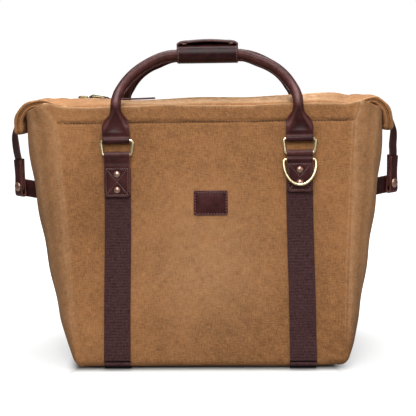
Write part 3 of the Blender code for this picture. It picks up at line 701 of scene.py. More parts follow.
class Effects:
    """The shader node groups that several finishes share."""

    def __init__(self) -> None:
        """Build every group once."""
        self.weave = self.make_weave()
        self.mottle = self.make_mottle()
        self.rubbed = self.make_rubbed()
        self.grain = self.make_grain()
        self.tarnish = self.make_tarnish()

    @staticmethod
    def make_weave() -> bpy.types.NodeTree:
        """Plain weave on a flat map.

        Bumps are sin(pi u/p) * sin(pi v/p), and threads vary along both ways.

        Returns:
            The node group.
        """
        g, use, out = new_group("plain_weave", {"Map": VECTOR, "Pitch": VALUE}, ["Height", "Slub"])
        wander = g.noise(use["Map"], 90.0, 2.0)
        wander = g.math("MULTIPLY", g.math("SUBTRACT", wander, 0.5), 0.0014)
        parts = g.add("SeparateXYZ", {0: use["Map"]})
        waves = []
        for axis in (0, 1):
            shifted = g.math("ADD", parts.outputs[axis], wander)
            turns = g.math("DIVIDE", shifted, use["Pitch"])
            waves.append(g.math("SINE", g.math("MULTIPLY", turns, math.pi)))
        product = g.math("MULTIPLY", waves[0], waves[1])
        warp = g.noise(g.stretched(use["Map"], (760.0, 105.0, 1.0)), 1.0, 3.0)
        weft = g.noise(g.stretched(use["Map"], (105.0, 760.0, 1.0)), 1.0, 3.0)
        slub = g.math("MULTIPLY", g.math("ADD", warp, weft), 0.5)
        height = g.weighted((product, 0.5), (slub, 1.4))
        g.fill(out, {"Height": height, "Slub": g.spread(slub, 0.32, 0.68)})
        return g.tree

    @staticmethod
    def make_mottle() -> bpy.types.NodeTree:
        """Wax clouds and fine grain on object coordinates: three noises, each a few times finer.

        Returns:
            The node group.
        """
        g, use, out = new_group("wax_mottle", {"Place": VECTOR}, ["Cloud", "Patch", "Grain"])
        for label, scale, detail, low, high in (
            ("Cloud", 6.0, 3.0, 0.32, 0.70),
            ("Patch", 48.0, 4.0, 0.32, 0.70),
            ("Grain", 420.0, 3.0, 0.33, 0.68),
        ):
            noise = g.noise(use["Place"], scale, detail, 0.6)
            g.fill(out, {label: g.spread(noise, low, high)})
        return g.tree

    @staticmethod
    def make_rubbed() -> bpy.types.NodeTree:
        """Paler marks: the mask of rubbed wear and painted highlight, broken up by noise, so that it starts
        and stops.

        Returns:
            The node group.
        """
        g, use, out = new_group("rubbed_edges", {"Wear": VALUE, "Place": VECTOR}, ["Mask"])
        broken = g.spread(g.noise(use["Place"], 120.0, 4.0, 0.65), 0.28, 0.72)
        g.fill(out, {"Mask": g.math("MULTIPLY", use["Wear"], g.weighted((broken, 0.8), shift=0.2))})
        return g.tree

    @staticmethod
    def make_grain() -> bpy.types.NodeTree:
        """Leather grain: fine cells over a slow rise and fall, with a cloudy pull-up tone.

        Returns:
            The node group.
        """
        outputs = ["Height", "Tone", "Pores"]
        g, use, out = new_group("leather_grain", {"Place": VECTOR, "Scale": VALUE}, outputs)
        inputs = {"Vector": use["Place"], "Scale": use["Scale"]}
        cells = g.add("TexVoronoi", inputs, feature="SMOOTH_F1").outputs["Distance"]
        soft = g.noise(use["Place"], 160.0, 4.0)
        cloud = g.noise(use["Place"], 55.0, 4.0, 0.6)
        g.fill(
            out,
            {
                "Height": g.weighted((cells, -0.8), (soft, 0.7)),
                "Tone": g.spread(cloud, 0.30, 0.72),
                "Pores": g.spread(cells, 0.05, 0.75),
            },
        )
        return g.tree

    @staticmethod
    def make_tarnish() -> bpy.types.NodeTree:
        """Tarnish on metal: cloudy tone and fine scratches drawn out along one way.

        Returns:
            The node group.
        """
        g, use, out = new_group("metal_tarnish", {"Place": VECTOR}, ["Tone", "Scratch"])
        cloud = g.noise(use["Place"], 140.0, 4.0, 0.6)
        drawn = g.noise(g.stretched(use["Place"], (60.0, 900.0, 900.0)), 1.0, 3.0)
        g.fill(out, {"Tone": g.spread(cloud, 0.30, 0.72), "Scratch": g.spread(drawn, 0.32, 0.70)})
        return g.tree


Colour = tuple[float, float, float]


def shader_of(name: str) -> tuple[bpy.types.Material, Graph, bpy.types.Node]:
    """Start a material.

    Args:
        name: Name of the material.

    Returns:
        The material, its graph and its Principled shader.
    """
    material = bpy.data.materials.new(name)
    material.use_nodes = True
    return material, Graph(material.node_tree), material.node_tree.nodes["Principled BSDF"]


@dataclass(frozen=True)
class CanvasFinish:
    """Waxed cotton canvas: tan, cloudy, with woven grain, and paler on rubbed ridges and under the painted
    highlight on the panels' top edges and the zip strip.
    """

    look: Look
    deep: Colour
    main: Colour
    pale: Colour
    pitch: float = 0.0011
    roughness: float = 0.78
    cloud: float = -0.36
    patch: float = 0.26
    grain: float = 0.20
    slub: float = 0.66
    tone: tuple[float, float] = (0.024, 0.724)
    rough_spread: float = 0.12
    thread_depth: float = 0.0006

    def material(self, effects: Effects) -> bpy.types.Material:
        """Build the material from the weave, mottle and rubbed groups.

        Args:
            effects: Shared node groups.

        Returns:
            The material.
        """
        material, g, shader = shader_of(self.look.label)
        place = g.place()
        weave = g.group(effects.weave, {"Map": g.flat_map(), "Pitch": self.pitch})
        mottle = g.group(effects.mottle, {"Place": place})
        rubbed = g.group(effects.rubbed, {"Wear": g.wear(), "Place": place})["Mask"]
        slow = g.weighted((mottle["Cloud"], self.cloud), (mottle["Patch"], self.patch))
        quick = g.weighted((mottle["Grain"], self.grain), (weave["Slub"], self.slub))
        tone = g.spread(g.math("ADD", slow, quick), *self.tone)
        least = self.roughness - self.rough_spread / 2
        g.fill(
            shader,
            {
                # The pale colour stands for rubbed wear and for painted highlight where the mask holds it.
                "Base Color": g.mix(rubbed, g.mix(tone, self.deep, self.main), self.pale),
                "Roughness": g.weighted((mottle["Patch"], self.rough_spread), shift=least),
                "Sheen Weight": 0.03,
                "Sheen Roughness": 0.6,
                "Specular IOR Level": 0.2,
                "Normal": g.bump(weave["Height"], self.thread_depth, 0.7),
            },
        )
        return material


@dataclass(frozen=True)
class LeatherFinish:
    """Oiled leather: dark red-brown, with pores, pull-up tone and paler rubbed edges."""

    look: Look
    deep: Colour
    main: Colour
    pale: Colour
    roughness: float = 0.39
    cells: float = 900.0
    cloud: float = 0.75
    pores: float = -0.22
    tone: tuple[float, float] = (-0.1, 0.72)
    rough_spread: float = 0.14
    grain_depth: float = 0.0004

    def material(self, effects: Effects) -> bpy.types.Material:
        """Build the material from the grain and rubbed groups.

        Args:
            effects: Shared node groups.

        Returns:
            The material.
        """
        material, g, shader = shader_of(self.look.label)
        place = g.place()
        grain = g.group(effects.grain, {"Place": place, "Scale": self.cells})
        rubbed = g.group(effects.rubbed, {"Wear": g.wear(), "Place": place})["Mask"]
        tone = g.weighted((grain["Tone"], self.cloud), (grain["Pores"], self.pores))
        colour = g.mix(g.spread(tone, *self.tone), self.deep, self.main)
        least = self.roughness - self.rough_spread / 2
        g.fill(
            shader,
            {
                "Base Color": g.mix(rubbed, colour, self.pale),
                "Roughness": g.weighted((grain["Tone"], self.rough_spread), shift=least),
                "Specular IOR Level": 0.14,
                "Coat Weight": 0.06,
                "Coat Roughness": 0.24,
                "Normal": g.bump(grain["Height"], self.grain_depth, 0.45),
            },
        )
        return material


@dataclass(frozen=True)
class WebbingFinish:
    """Ribbed cotton webbing: dark plum brown, with a twill of fine threads, near-black painted shade in its
    crease and under its foot, and a painted highlight on its fold.
    """

    look: Look
    deep: Colour
    main: Colour
    # Near-black colour of the painted shade in the crease and under the foot.
    shade: Colour = (0.0020, 0.0008, 0.0009)
    pitch: float = 0.0010
    grain: float = 0.45
    slub: float = 0.75
    rib: float = 0.46
    tone: tuple[float, float] = (0.24, 1.42)
    shaded: float = 0.26
    roughness: float = 0.8
    rough_spread: float = 0.1
    thread_depth: float = 0.0004

    def material(self, effects: Effects) -> bpy.types.Material:
        """Build the material from the weave and mottle groups.

        Args:
            effects: Shared node groups.

        Returns:
            The material.
        """
        material, g, shader = shader_of(self.look.label)
        weave = g.group(effects.weave, {"Map": g.flat_map(), "Pitch": self.pitch})
        mottle = g.group(effects.mottle, {"Place": g.place()})
        wear = g.wear()
        fine = (mottle["Grain"], self.grain), (weave["Slub"], self.slub)
        tone = g.spread(g.weighted(*fine, (wear, self.rib)), *self.tone)
        colour = g.mix(tone, self.deep, self.main)
        rough = g.weighted((mottle["Grain"], self.rough_spread), shift=self.roughness)
        # Below the shaded level of the mask the colour goes to the near-black painted shade.
        g.fill(
            shader,
            {
                "Base Color": g.mix(g.spread(wear, 0.0, self.shaded), self.shade, colour),
                "Roughness": rough,
                "Specular IOR Level": 0.18,
                "Normal": g.bump(weave["Height"], self.thread_depth, 0.5),
            },
        )
        return material


@dataclass(frozen=True)
class MetalFinish:
    """Metal fittings: a base tone, a tarnish tone and a shine."""

    look: Look
    main: Colour
    tarnish: Colour
    roughness: float
    tarnish_share: float = 0.55
    rough_spread: float = 0.12
    scratch: float = 0.05
    scratch_depth: float = 0.00008

    def material(self, effects: Effects) -> bpy.types.Material:
        """Build the material from the tarnish group.

        Args:
            effects: Shared node groups.

        Returns:
            The material.
        """
        material, g, shader = shader_of(self.look.label)
        tarnish = g.group(effects.tarnish, {"Place": g.place()})
        share = g.math("MULTIPLY", tarnish["Tone"], self.tarnish_share)
        rough = g.weighted((tarnish["Tone"], self.rough_spread), shift=self.roughness)
        scratches = g.math("MULTIPLY", tarnish["Scratch"], self.scratch)
        g.fill(
            shader,
            {
                "Base Color": g.mix(share, self.main, self.tarnish),
                "Roughness": g.math("ADD", rough, scratches),
                "Metallic": 1.0,
                "Normal": g.bump(tarnish["Scratch"], self.scratch_depth, 0.3),
            },
        )
        return material


@dataclass(frozen=True)
class ThreadFinish:
    """Sewing thread, cord and stiff board: two tones that vary along fine strands."""

    look: Look
    deep: Colour
    main: Colour
    strands: float = 900.0
    roughness: float = 0.7
    fine: float = 0.6
    patch: float = 0.4
    tone: tuple[float, float] = (0.2, 0.85)
    rough_spread: float = 0.2
    strand_depth: float = 0.0002

    def material(self, effects: Effects) -> bpy.types.Material:
        """Build the material from noise strands and the mottle group.

        Args:
            effects: Shared node groups.

        Returns:
            The material.
        """
        material, g, shader = shader_of(self.look.label)
        place = g.place()
        mottle = g.group(effects.mottle, {"Place": place})
        strand = g.noise(place, self.strands, 2.0)
        tone = g.weighted((strand, self.fine), (mottle["Patch"], self.patch))
        least = self.roughness - self.rough_spread / 2
        g.fill(
            shader,
            {
                "Base Color": g.mix(g.spread(tone, *self.tone), self.deep, self.main),
                "Roughness": g.weighted((strand, self.rough_spread), shift=least),
                "Normal": g.bump(strand, self.strand_depth, 0.4),
            },
        )
        return material


class Workshop:
    """Holds the finishes and turns surfaces into pieces of the bag."""

    def __init__(self) -> None:
        """Build every finish once."""
        effects = Effects()
        finishes = (
            CanvasFinish(Look.CANVAS, (0.160, 0.0665, 0.0198), (0.384, 0.174, 0.0655), (0.64, 0.43, 0.25)),
            CanvasFinish(
                Look.LINING, (0.055, 0.036, 0.024), (0.130, 0.090, 0.060), (0.2, 0.15, 0.1), 0.0007, 0.85
            ),
            LeatherFinish(
                Look.LEATHER, (0.020, 0.0042, 0.0041), (0.066, 0.0160, 0.0154), (0.21, 0.085, 0.070)
            ),
            # A darker copy of the leather for the grip's wrap and flap: painted shade.
            LeatherFinish(
                Look.GRIP_LEATHER,
                (0.011, 0.0018, 0.0020),
                (0.041, 0.0080, 0.0080),
                (0.17, 0.066, 0.055),
                0.36,
            ),
            WebbingFinish(Look.WEBBING, (0.0075, 0.0024, 0.0027), (0.094, 0.0385, 0.0395)),
            MetalFinish(Look.BRASS, (0.86, 0.76, 0.48), (0.50, 0.38, 0.17), 0.20),
            MetalFinish(Look.COPPER, (0.58, 0.36, 0.28), (0.20, 0.105, 0.080), 0.24),
            MetalFinish(Look.ANTIQUE, (0.190, 0.145, 0.075), (0.030, 0.024, 0.016), 0.20),
            MetalFinish(Look.ZIP_CHAIN, (0.33, 0.25, 0.13), (0.10, 0.075, 0.045), 0.30),
            ThreadFinish(Look.TAPE, (0.030, 0.020, 0.014), (0.095, 0.065, 0.045)),
            ThreadFinish(Look.CANVAS_THREAD, (0.055, 0.026, 0.011), (0.125, 0.062, 0.028)),
            ThreadFinish(Look.LEATHER_THREAD, (0.070, 0.030, 0.026), (0.210, 0.115, 0.098)),
            ThreadFinish(Look.CORD, (0.30, 0.25, 0.17), (0.55, 0.47, 0.35), 700.0, 0.9),
            ThreadFinish(Look.BOARD, (0.07, 0.05, 0.035), (0.15, 0.115, 0.08), 300.0, 0.8),
        )
        self.materials = {finish.look: finish.material(effects) for finish in finishes}

    def piece(self, name: str, surface: Surface, look: Look, *nodes: str) -> bpy.types.Object:
        """Make a mesh object of a surface, with its flat map, its mask of wear and painted shading, and its
        material.

        Args:
            name: Name of the piece.
            surface: Its shape.
            look: Its finish.
            nodes: Nodes that it replaces.

        Returns:
            The object, not yet riding on a body.
        """
        mesh = bpy.data.meshes.new(name)
        mesh.vertices.add(len(surface.points))
        mesh.vertices.foreach_set("co", surface.points.astype(np.float32).ravel())
        mesh.loops.add(surface.quads.size)
        mesh.loops.foreach_set("vertex_index", surface.quads.astype(np.int32).ravel())
        mesh.polygons.add(len(surface.quads))
        mesh.polygons.foreach_set("loop_start", np.arange(0, surface.quads.size, 4, dtype=np.int32))
        mesh.update(calc_edges=True)
        layer = mesh.uv_layers.new(name="UVMap")
        layer.data.foreach_set("uv", surface.flat[surface.quads.ravel()].astype(np.float32).ravel())
        mask = mesh.attributes.new("wear", "FLOAT", "POINT")
        mask.data.foreach_set("value", surface.wear.astype(np.float32))
        shape = bmesh.new()
        shape.from_mesh(mesh)
        bmesh.ops.remove_doubles(shape, verts=shape.verts, dist=WELD)
        shape.to_mesh(mesh)
        shape.free()
        mesh.polygons.foreach_set("use_smooth", np.ones(len(mesh.polygons), bool))
        mesh.set_sharp_from_angle(angle=SHARP)
        mesh.materials.append(self.materials[look])
        thing = bpy.data.objects.new(name, mesh)
        bpy.context.scene.collection.objects.link(thing)
        if nodes:
            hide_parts(*nodes)
        LOG.info("%s: %d faces", name, len(mesh.polygons))
        return thing

    def ride(self, name: str, surface: Surface, look: Look, body: str, *nodes: str) -> bpy.types.Object:
        """Make a piece that moves with one body and stands for some nodes.

        Args:
            name: Name of the piece.
            surface: Its shape.
            look: Its finish.
            body: Body that it moves with.
            nodes: Nodes that it replaces.

        Returns:
            The object.
        """
        thing = self.piece(name, surface, look, *nodes)
        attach(thing, body)
        return thing

    def dress_node(self, node: str, look: Look) -> None:
        """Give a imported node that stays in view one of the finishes.

        Args:
            node: Name of the node.
            look: Its finish.
        """
        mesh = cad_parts[node].data
        mesh.materials.clear()
        mesh.materials.append(self.materials[look])
        LOG.info("%s: dressed as %s", node, look.label)


@dataclass
class BodyForm:
    """The bag's outer form: straight tapering faces and ends that swell to half ellipses."""

    height: float = 0.3737
    foot: float = 0.0025
    foot_radius: float = 0.0120
    spread: tuple[float, float] = (0.0040, 0.0062)
    belly: float = 0.0064
    depth_base: float = 0.190
    depth_top: float = 0.092
    width_base: float = 0.384
    width_top: float = 0.422
    seam_left: tuple[float, float] = (0.1925, 0.2215)
    seam_right: tuple[float, float] = (0.1955, 0.2130)
    flare_start: float = 0.340
    flare: dict = field(default_factory=lambda: {Side.LEFT: 0.0140, Side.RIGHT: 0.0060})
    corner_rise: dict = field(default_factory=lambda: {Side.LEFT: 0.0050, Side.RIGHT: 0.0042})
    bulge_base: float = 0.006
    bulge_rise: float = 0.0567
    bulge_draw: float = 0.14
    bulge_lean: float = 0.007
    gusset_dip: float = 0.0105
    dip_power: float = 1.1
    tuck: float = 0.0034
    tuck_height: dict = field(default_factory=lambda: {Side.LEFT: 0.070, Side.RIGHT: 0.035})
    corner_lift: dict = field(default_factory=lambda: {Side.LEFT: 0.0016, Side.RIGHT: 0.0042})
    lift_span: tuple[float, float] = (0.150, 0.200)
    lift_top: float = 0.040
    push_span: tuple[float, float] = (-0.150, 0.100)
    push_top: float = 0.190
    wave: tuple = ((-0.0011, 31.0, 0.3), (0.0003, 83.0, 0.0))
    peak_left: tuple[float, float] = (0.206, 0.232)
    peak_right: tuple[float, float] = (0.198, 0.218)
    sag: float = 0.0016
    end_hollow: tuple[float, float, float] = (0.0022, 0.168, 0.016)
    corner_hollows: tuple = (
        (0.0020, 0.150, 0.022, 0.045, 0.035),
        (0.0016, -0.158, 0.018, 0.055, 0.05),
    )
    ripple: float = 0.0007
    crease: float = 0.0006
    held_x: tuple[float, float] = (0.130, 0.032)
    held_z: tuple[float, float] = (0.215, 0.262)
    hem: float = 0.3500
    canvas: float = 0.0022

    @property
    def tilt(self) -> float:
        """Lean of the faces, in radians."""
        return math.atan2((self.depth_base - self.depth_top) / 2, self.height)

    def face(self, x: np.ndarray, s: np.ndarray, n: np.ndarray) -> np.ndarray:
        """Points of the front face: across, up the slope and outward.

        Args:
            x: Distance across from the middle.
            s: Distance up the slope.
            n: Distance outward.

        Returns:
            Array of points.
        """
        x, s, n = np.broadcast_arrays(np.asarray(x, float), s, n)
        sine, cosine = math.sin(self.tilt), math.cos(self.tilt)
        y = -self.depth_base / 2 + s * sine - n * cosine
        return np.stack([x + CENTRE_X, y, s * cosine + n * sine], -1)

    @property
    def up(self) -> np.ndarray:
        """Direction up the front face."""
        return np.array([0.0, math.sin(self.tilt), math.cos(self.tilt)])

    @property
    def out(self) -> np.ndarray:
        """Direction out of the front face."""
        return np.array([0.0, -math.cos(self.tilt), math.sin(self.tilt)])

    def inset(self, z: np.ndarray) -> np.ndarray:
        """How far the walls curl in near the floor: a quarter circle.

        Args:
            z: Heights.

        Returns:
            Distances inward.
        """
        r = self.foot_radius
        low = np.clip(r - (z - self.foot), 0.0, r)
        return r - np.sqrt(r * r - low * low)

    def half_depth(self, z: np.ndarray) -> np.ndarray:
        """Half of the outer depth at a height."""
        straight = (self.depth_base + (self.depth_top - self.depth_base) * z / self.height) / 2
        return straight + self.belly * (1.0 - step(z, 0.0, self.push_top)) - self.inset(z)

    def drawn_in(self, side: Side, z: np.ndarray) -> np.ndarray:
        """How far an end is drawn in towards the floor: a smooth step."""
        return self.tuck * (1.0 - step(z, 0.0, self.tuck_height[side])) + self.inset(z) * 0.8

    def lifted(self, points: np.ndarray) -> np.ndarray:
        """The canvas as it sits: the front and back foot pushed out, the bottom corners raised.

        The push fades out 190 mm up by a smooth step and is in proportion to the depth. The lift
        grows by a smooth step from 150 mm out to 200 mm out, and fades out 40 mm up.

        Args:
            points: Array of points.

        Returns:
            The moved points.
        """
        x, z = points[..., 0] - CENTRE_X, points[..., 2]
        most = np.where(x < 0, self.corner_lift[Side.LEFT], self.corner_lift[Side.RIGHT])
        rise = most * step(np.abs(x), *self.lift_span) * (1.0 - step(z, 0.0, self.lift_top))
        left, right = self.spread
        most = left + (right - left) * step(x, *self.push_span)
        share = points[..., 1] / self.half_depth(np.maximum(z, self.foot))
        push = most * (1.0 - step(z, 0.0, self.push_top)) * np.clip(share, -1.0, 1.0)
        return points + np.stack([0.0 * x, push, rise], -1)

    def seam(self, side: Side, z: np.ndarray) -> np.ndarray:
        """Distance from the middle to the seam of a face and an end, flared at the top corner.

        Args:
            side: Which end.
            z: Heights.

        Returns:
            Distances from the middle.
        """
        low, high = self.seam_left if side is Side.LEFT else self.seam_right
        rise = step(z, self.flare_start, self.height) ** 1.4
        return low + (high - low) * z / self.height + self.flare[side] * rise - self.drawn_in(side, z)

    def reach(self, side: Side, z: np.ndarray) -> np.ndarray:
        """Distance from the middle to the end's outermost line at a height.

        Args:
            side: Which end.
            z: Heights.

        Returns:
            Distances from the middle.
        """
        share = np.clip(z / self.height, 0.0, None)
        drawn = 1.0 - self.bulge_draw * share**4
        swell = self.bulge_base + (self.bulge_rise * drawn - side.value * self.bulge_lean) * np.sqrt(share)
        width = self.width_base + (self.width_top - self.width_base) * share
        return width / 2 + swell - self.drawn_in(side, z) - self.inset(z) * 0.2

    def top(self, x: np.ndarray) -> np.ndarray:
        """Height of a face's top edge: level, a little wavy, raised to a peak at the corners.

        Args:
            x: Distances across from the middle.

        Returns:
            Heights of the edge.
        """
        wave = sum(most * np.sin(rate * x + phase) for most, rate, phase in self.wave)
        left = self.corner_rise[Side.LEFT] * step(-x, *self.peak_left)
        right = self.corner_rise[Side.RIGHT] * step(x, *self.peak_right)
        return self.height + wave + np.where(x < 0, left, right)

    def levels(self, share: np.ndarray, top: np.ndarray) -> np.ndarray:
        """Heights along a wall: a quarter circle from the floor, then straight up.

        Args:
            share: Shares of the wall's length, as a column.
            top: Height of the top edge, as a row.

        Returns:
            Grid of heights.
        """
        bend = self.foot_radius * math.pi / 2
        run = np.asarray(share)[:, None] * (bend + self.height - self.foot - self.foot_radius)
        angle = np.clip(run / self.foot_radius, 0.0, math.pi / 2)
        curl = self.foot + self.foot_radius * (1.0 - np.cos(angle))
        rest = (run - bend) / (self.height - self.foot - self.foot_radius)
        straight = self.foot + self.foot_radius + rest * (top[None] - self.foot - self.foot_radius)
        return np.where(run < bend, curl, straight)

    def relief(self, x: np.ndarray, z: np.ndarray) -> np.ndarray:
        """Soft hollows, ripples and creases of the front canvas: slow sines and bells, in metres.

        The canvas lies flat under the ring tabs, where the straps hold it.

        Args:
            x: Distance across from the middle.
            z: Height.

        Returns:
            Distance outward.
        """
        off = np.abs(x)
        slow = 0.5 + 0.5 * np.sin(13.0 * x + 9.0 * z + 0.8) * np.sin(17.0 * z - 6.0 * x + 0.4)
        depth, place, width = self.end_hollow
        ends = depth * bump(off, place, width) * step(z, 0.03, 0.10)
        corners = sum(d * bump(x, at, w) * bump(z, up, h) for d, at, w, up, h in self.corner_hollows)
        ripples = self.ripple * np.sin(190.0 * x + 2.0 * np.sin(40.0 * z)) * bump(z, 0.363, 0.010)
        ripples = ripples * (0.35 + bump(x, 0.175, 0.03) + bump(x, -0.18, 0.03))
        creases = self.crease * np.sin(330.0 * (z + 0.6 * off))
        creases = creases * bump(off, 0.178, 0.016) * bump(z, 0.022, 0.016)
        held = bump(off, *self.held_x) * step(z, *self.held_z)
        return (-self.sag * slow - ends - corners + ripples + creases) * (1.0 - held)


@dataclass
class CanvasBody:
    """The canvas panels, ends, base and lining, with their seams and hem stitching."""

    form: BodyForm
    wall: float = 0.38
    wall_length: float = 0.378
    base_size: tuple[float, float] = (0.38, 0.166)
    hem_span: tuple[float, float] = (-0.2165, 0.2085)
    sewing: Sewing = Sewing(0.0044, 0.0008, 0.82)
    across: int = 170
    upward: int = 150
    ridge: float = 0.0011
    ridge_width: float = 0.0040
    hem_proud: float = 0.0011
    handled_panel: float = 0.19
    handled_end: float = 0.11
    groove: float = 0.0022
    lining_gap: float = 0.0040
    lining_cloth: float = 0.0008
    lining_floor: float = 0.0112
    lining_top: float = 0.352
    cover_x: float = 0.2080
    cover_half: float = 0.0251
    cover_low: float = 0.3655
    cover_rise: float = 0.0140
    cover_sag: float = 0.0030
    cover_back: float = 0.0345
    cover_turn: float = 0.60

    def panel_outer(self, share_x: np.ndarray, share_z: np.ndarray) -> tuple[np.ndarray, np.ndarray]:
        """Outer face of the front panel.

        x runs from seam to seam, y is half of the depth there, and z follows the wall. Relief, the
        hem's groove and the seam's ridge are added along the normal.

        Args:
            share_x: Shares across, 0 to 1.
            share_z: Shares of the wall, 0 to 1.

        Returns:
            Grid of points and grid of wear and painted highlight.
        """
        form = self.form
        a = share_x * 2.0 - 1.0
        left, right = (form.seam(side, form.height) for side in Side)
        z = form.levels(share_z, form.top(np.where(a < 0, a * left, a * right))).T
        edge = np.where(a[:, None] < 0, form.seam(Side.LEFT, z), form.seam(Side.RIGHT, z))
        x = a[:, None] * edge
        points = np.stack([x + CENTRE_X, -form.half_depth(z), z], -1)
        normal = grid_normals(points)
        inner = edge - np.abs(x)
        hem_end = step(inner, 0.002, 0.008)
        band = self.hem_proud * step(z, form.hem - 0.001, form.hem + 0.005) * step(inner, 0.0, 0.012)
        groove = self.groove * bump(z, form.hem, 0.0014) * hem_end
        ridge = self.ridge * bump(inner, 0.0, self.ridge_width)
        push = form.relief(x, z) * step(inner, 0.004, 0.03) + ridge + band - groove
        double = bump(inner, 0.0012, 0.0013) + 0.7 * bump(inner, 0.0062, 0.0012)
        wear = np.where(x > 0, 0.30 * double, 0.16 * bump(inner, 0.003, 0.004)) * step(z, 0.02, 0.08)
        # Paler band along the top edge: rubbed wear and a painted highlight on the rounded edge lit from
        # above.
        wear = wear + 0.55 * bump(z, form.top(x), 0.0025)
        wear = wear + self.handled_panel * bump(x, 0.0, 0.085) * bump(z, 0.150, 0.095)
        return form.lifted(points + normal * push[..., None]), np.clip(wear, 0.0, 1.0)

    def build(self, shop: Workshop) -> None:
        """Make every canvas piece of the body.

        Args:
            shop: Workshop that makes the pieces.
        """
        self.build_panels(shop)
        self.build_ends(shop)
        self.build_base(shop)
        self.build_lining(shop)
        shop.dress_node("base_board", Look.BOARD)

    def build_panels(self, shop: Workshop) -> None:
        """The front and back panels and the hem's stitching.

        Args:
            shop: Workshop that makes the pieces.
        """
        form = self.form
        rim = form.canvas / 2
        share_x = np.sin(np.linspace(-1.0, 1.0, self.across) * 1.35) / math.sin(1.35) * 0.5 + 0.5
        share_z = lines(self.upward, self.wall, rim)
        outer, wear = self.panel_outer(share_x, share_z)
        middle = outer - grid_normals(outer) * form.canvas / 2
        front = shell(middle, form.canvas, open_start=True, open_end=True, wear=wear)
        hem_x = np.linspace(*self.hem_span, 310)
        level = form.hem + 0 * hem_x
        hem = np.stack([hem_x + CENTRE_X, -form.half_depth(level), level], -1)
        hem = hem + form.out * (form.relief(hem_x, level) - self.groove + self.hem_proud)[:, None]
        thread = stitches(hem, form.out, self.sewing)
        for face in Face:
            name, panel, rows = face.label, front.mirrored(face), thread.mirrored(face)
            piece = shop.ride(name + "_canvas_panel", panel, Look.CANVAS, "bag", name + "_panel")
            sewn = shop.ride(name + "_hem_stitching", rows, Look.CANVAS_THREAD, "bag")

    def build_ends(self, shop: Workshop) -> None:
        """The swelling ends: half ellipses in plan, with a dipped top edge and a few soft folds.

        Args:
            shop: Workshop that makes the pieces.
        """
        form = self.form
        rim = form.canvas / 2
        angle = np.radians(np.linspace(-90.0, 90.0, 111))
        share = lines(self.upward, self.wall, rim)
        for side in Side:
            turn = angle if side is Side.RIGHT else -angle
            corner = form.height + form.corner_rise[side]
            top = corner - (form.gusset_dip + form.corner_rise[side]) * np.abs(np.cos(turn)) ** form.dip_power
            z = form.levels(share, top).T
            seam = form.seam(side, z)
            swell = form.reach(side, z) - seam
            cosine = np.cos(turn)[:, None]
            x = seam + swell * cosine
            y = form.half_depth(z) * np.sin(turn)[:, None]
            points = np.stack([side.value * x + CENTRE_X, y, z], -1)
            normal = grid_normals(points)
            inner = swell * cosine
            degrees = np.abs(np.degrees(turn))[:, None]
            folds = -0.0016 * bump(degrees, 62.0, 9.0) * step(z, 0.06, 0.16)
            folds = folds + self.ridge * bump(inner, 0.0, self.ridge_width)
            folds = folds + 0.0010 * np.sin(70.0 * z + 3.0 * turn[:, None]) * cosine * step(z, 0.03, 0.08)
            wear = 0.18 * bump(inner, 0.0, 0.004) + 0.16 * bump(degrees, 50.0, 5.0)
            middle = form.lifted(points + normal * (folds[..., None] - form.canvas / 2))
            name = side.label
            wear = (np.broadcast_to(wear, z.shape) + self.handled_end) * step(z, 0.02, 0.09)
            surface = shell(middle, form.canvas, open_start=True, open_end=True, wear=wear)
            piece = shop.ride(name + "_canvas_end", surface, Look.CANVAS, "bag", name + "_gusset")
            surface = self.end_cover(side, turn, middle[:, -1])
            cover = shop.ride(name + "_end_cover", surface, Look.CANVAS, "bag")

    def end_cover(self, side: Side, turn: np.ndarray, edge: np.ndarray) -> Surface:
        """The turned-in top of an end: lines from its edge to the zip top that sag by a sine.

        Args:
            side: Which end.
            turn: Angles round the end.
            edge: Points of the end's top edge at those angles.

        Returns:
            The canvas under an ear.
        """
        share = np.abs(np.sin(turn))
        back = step(share, self.cover_turn, 1.0)
        x = self.cover_x - self.cover_back * back
        under_ear = self.cover_half * share / self.cover_turn
        beside = 0.0434 - 0.0155 * step(x, 0.176, 0.2105) - 0.003 * (1.0 - back)
        y = np.sign(turn) * np.where(share < self.cover_turn, under_ear, beside)
        low = np.minimum(share / self.cover_turn, 1.0)
        z = self.cover_low + self.cover_rise * (1.0 - low) ** 0.9 + 0.0016 * back
        inner = np.stack([side.value * x + CENTRE_X, y, z], -1)
        v = lines(16, 0.04, self.form.canvas / 2)[None, :, None]
        outer = (edge - np.array([0.0, 0.0, self.form.canvas / 2]))[:, None]
        middle = outer + (inner[:, None] - outer) * v
        middle[..., 2] -= self.cover_sag * np.sin(np.pi * v[..., 0])
        return shell(middle, self.form.canvas)

    def build_base(self, shop: Workshop) -> None:
        """The base canvas: flat, as wide as the walls' inner curl, with elliptic ends.

        Args:
            shop: Workshop that makes the pieces.
        """
        form = self.form
        low = form.foot
        b = lines(50, self.base_size[1], form.canvas / 2) * 2.0 - 1.0
        a = lines(70, self.base_size[0], form.canvas / 2)[:, None]
        bow = np.sqrt(1.0 - b * b)
        seams = {side: form.seam(side, low) for side in Side}
        left, right = (
            side.value * (seam + (form.reach(side, low) - seam) * bow) for side, seam in seams.items()
        )
        x = left + (right - left) * a
        y = np.broadcast_to(form.half_depth(low) * b, x.shape)
        middle = form.lifted(np.stack([x + CENTRE_X, y, np.full(x.shape, low + form.canvas / 2)], -1))
        piece = shop.ride("base_canvas", shell(middle, form.canvas), Look.CANVAS, "bag", "base_panel")

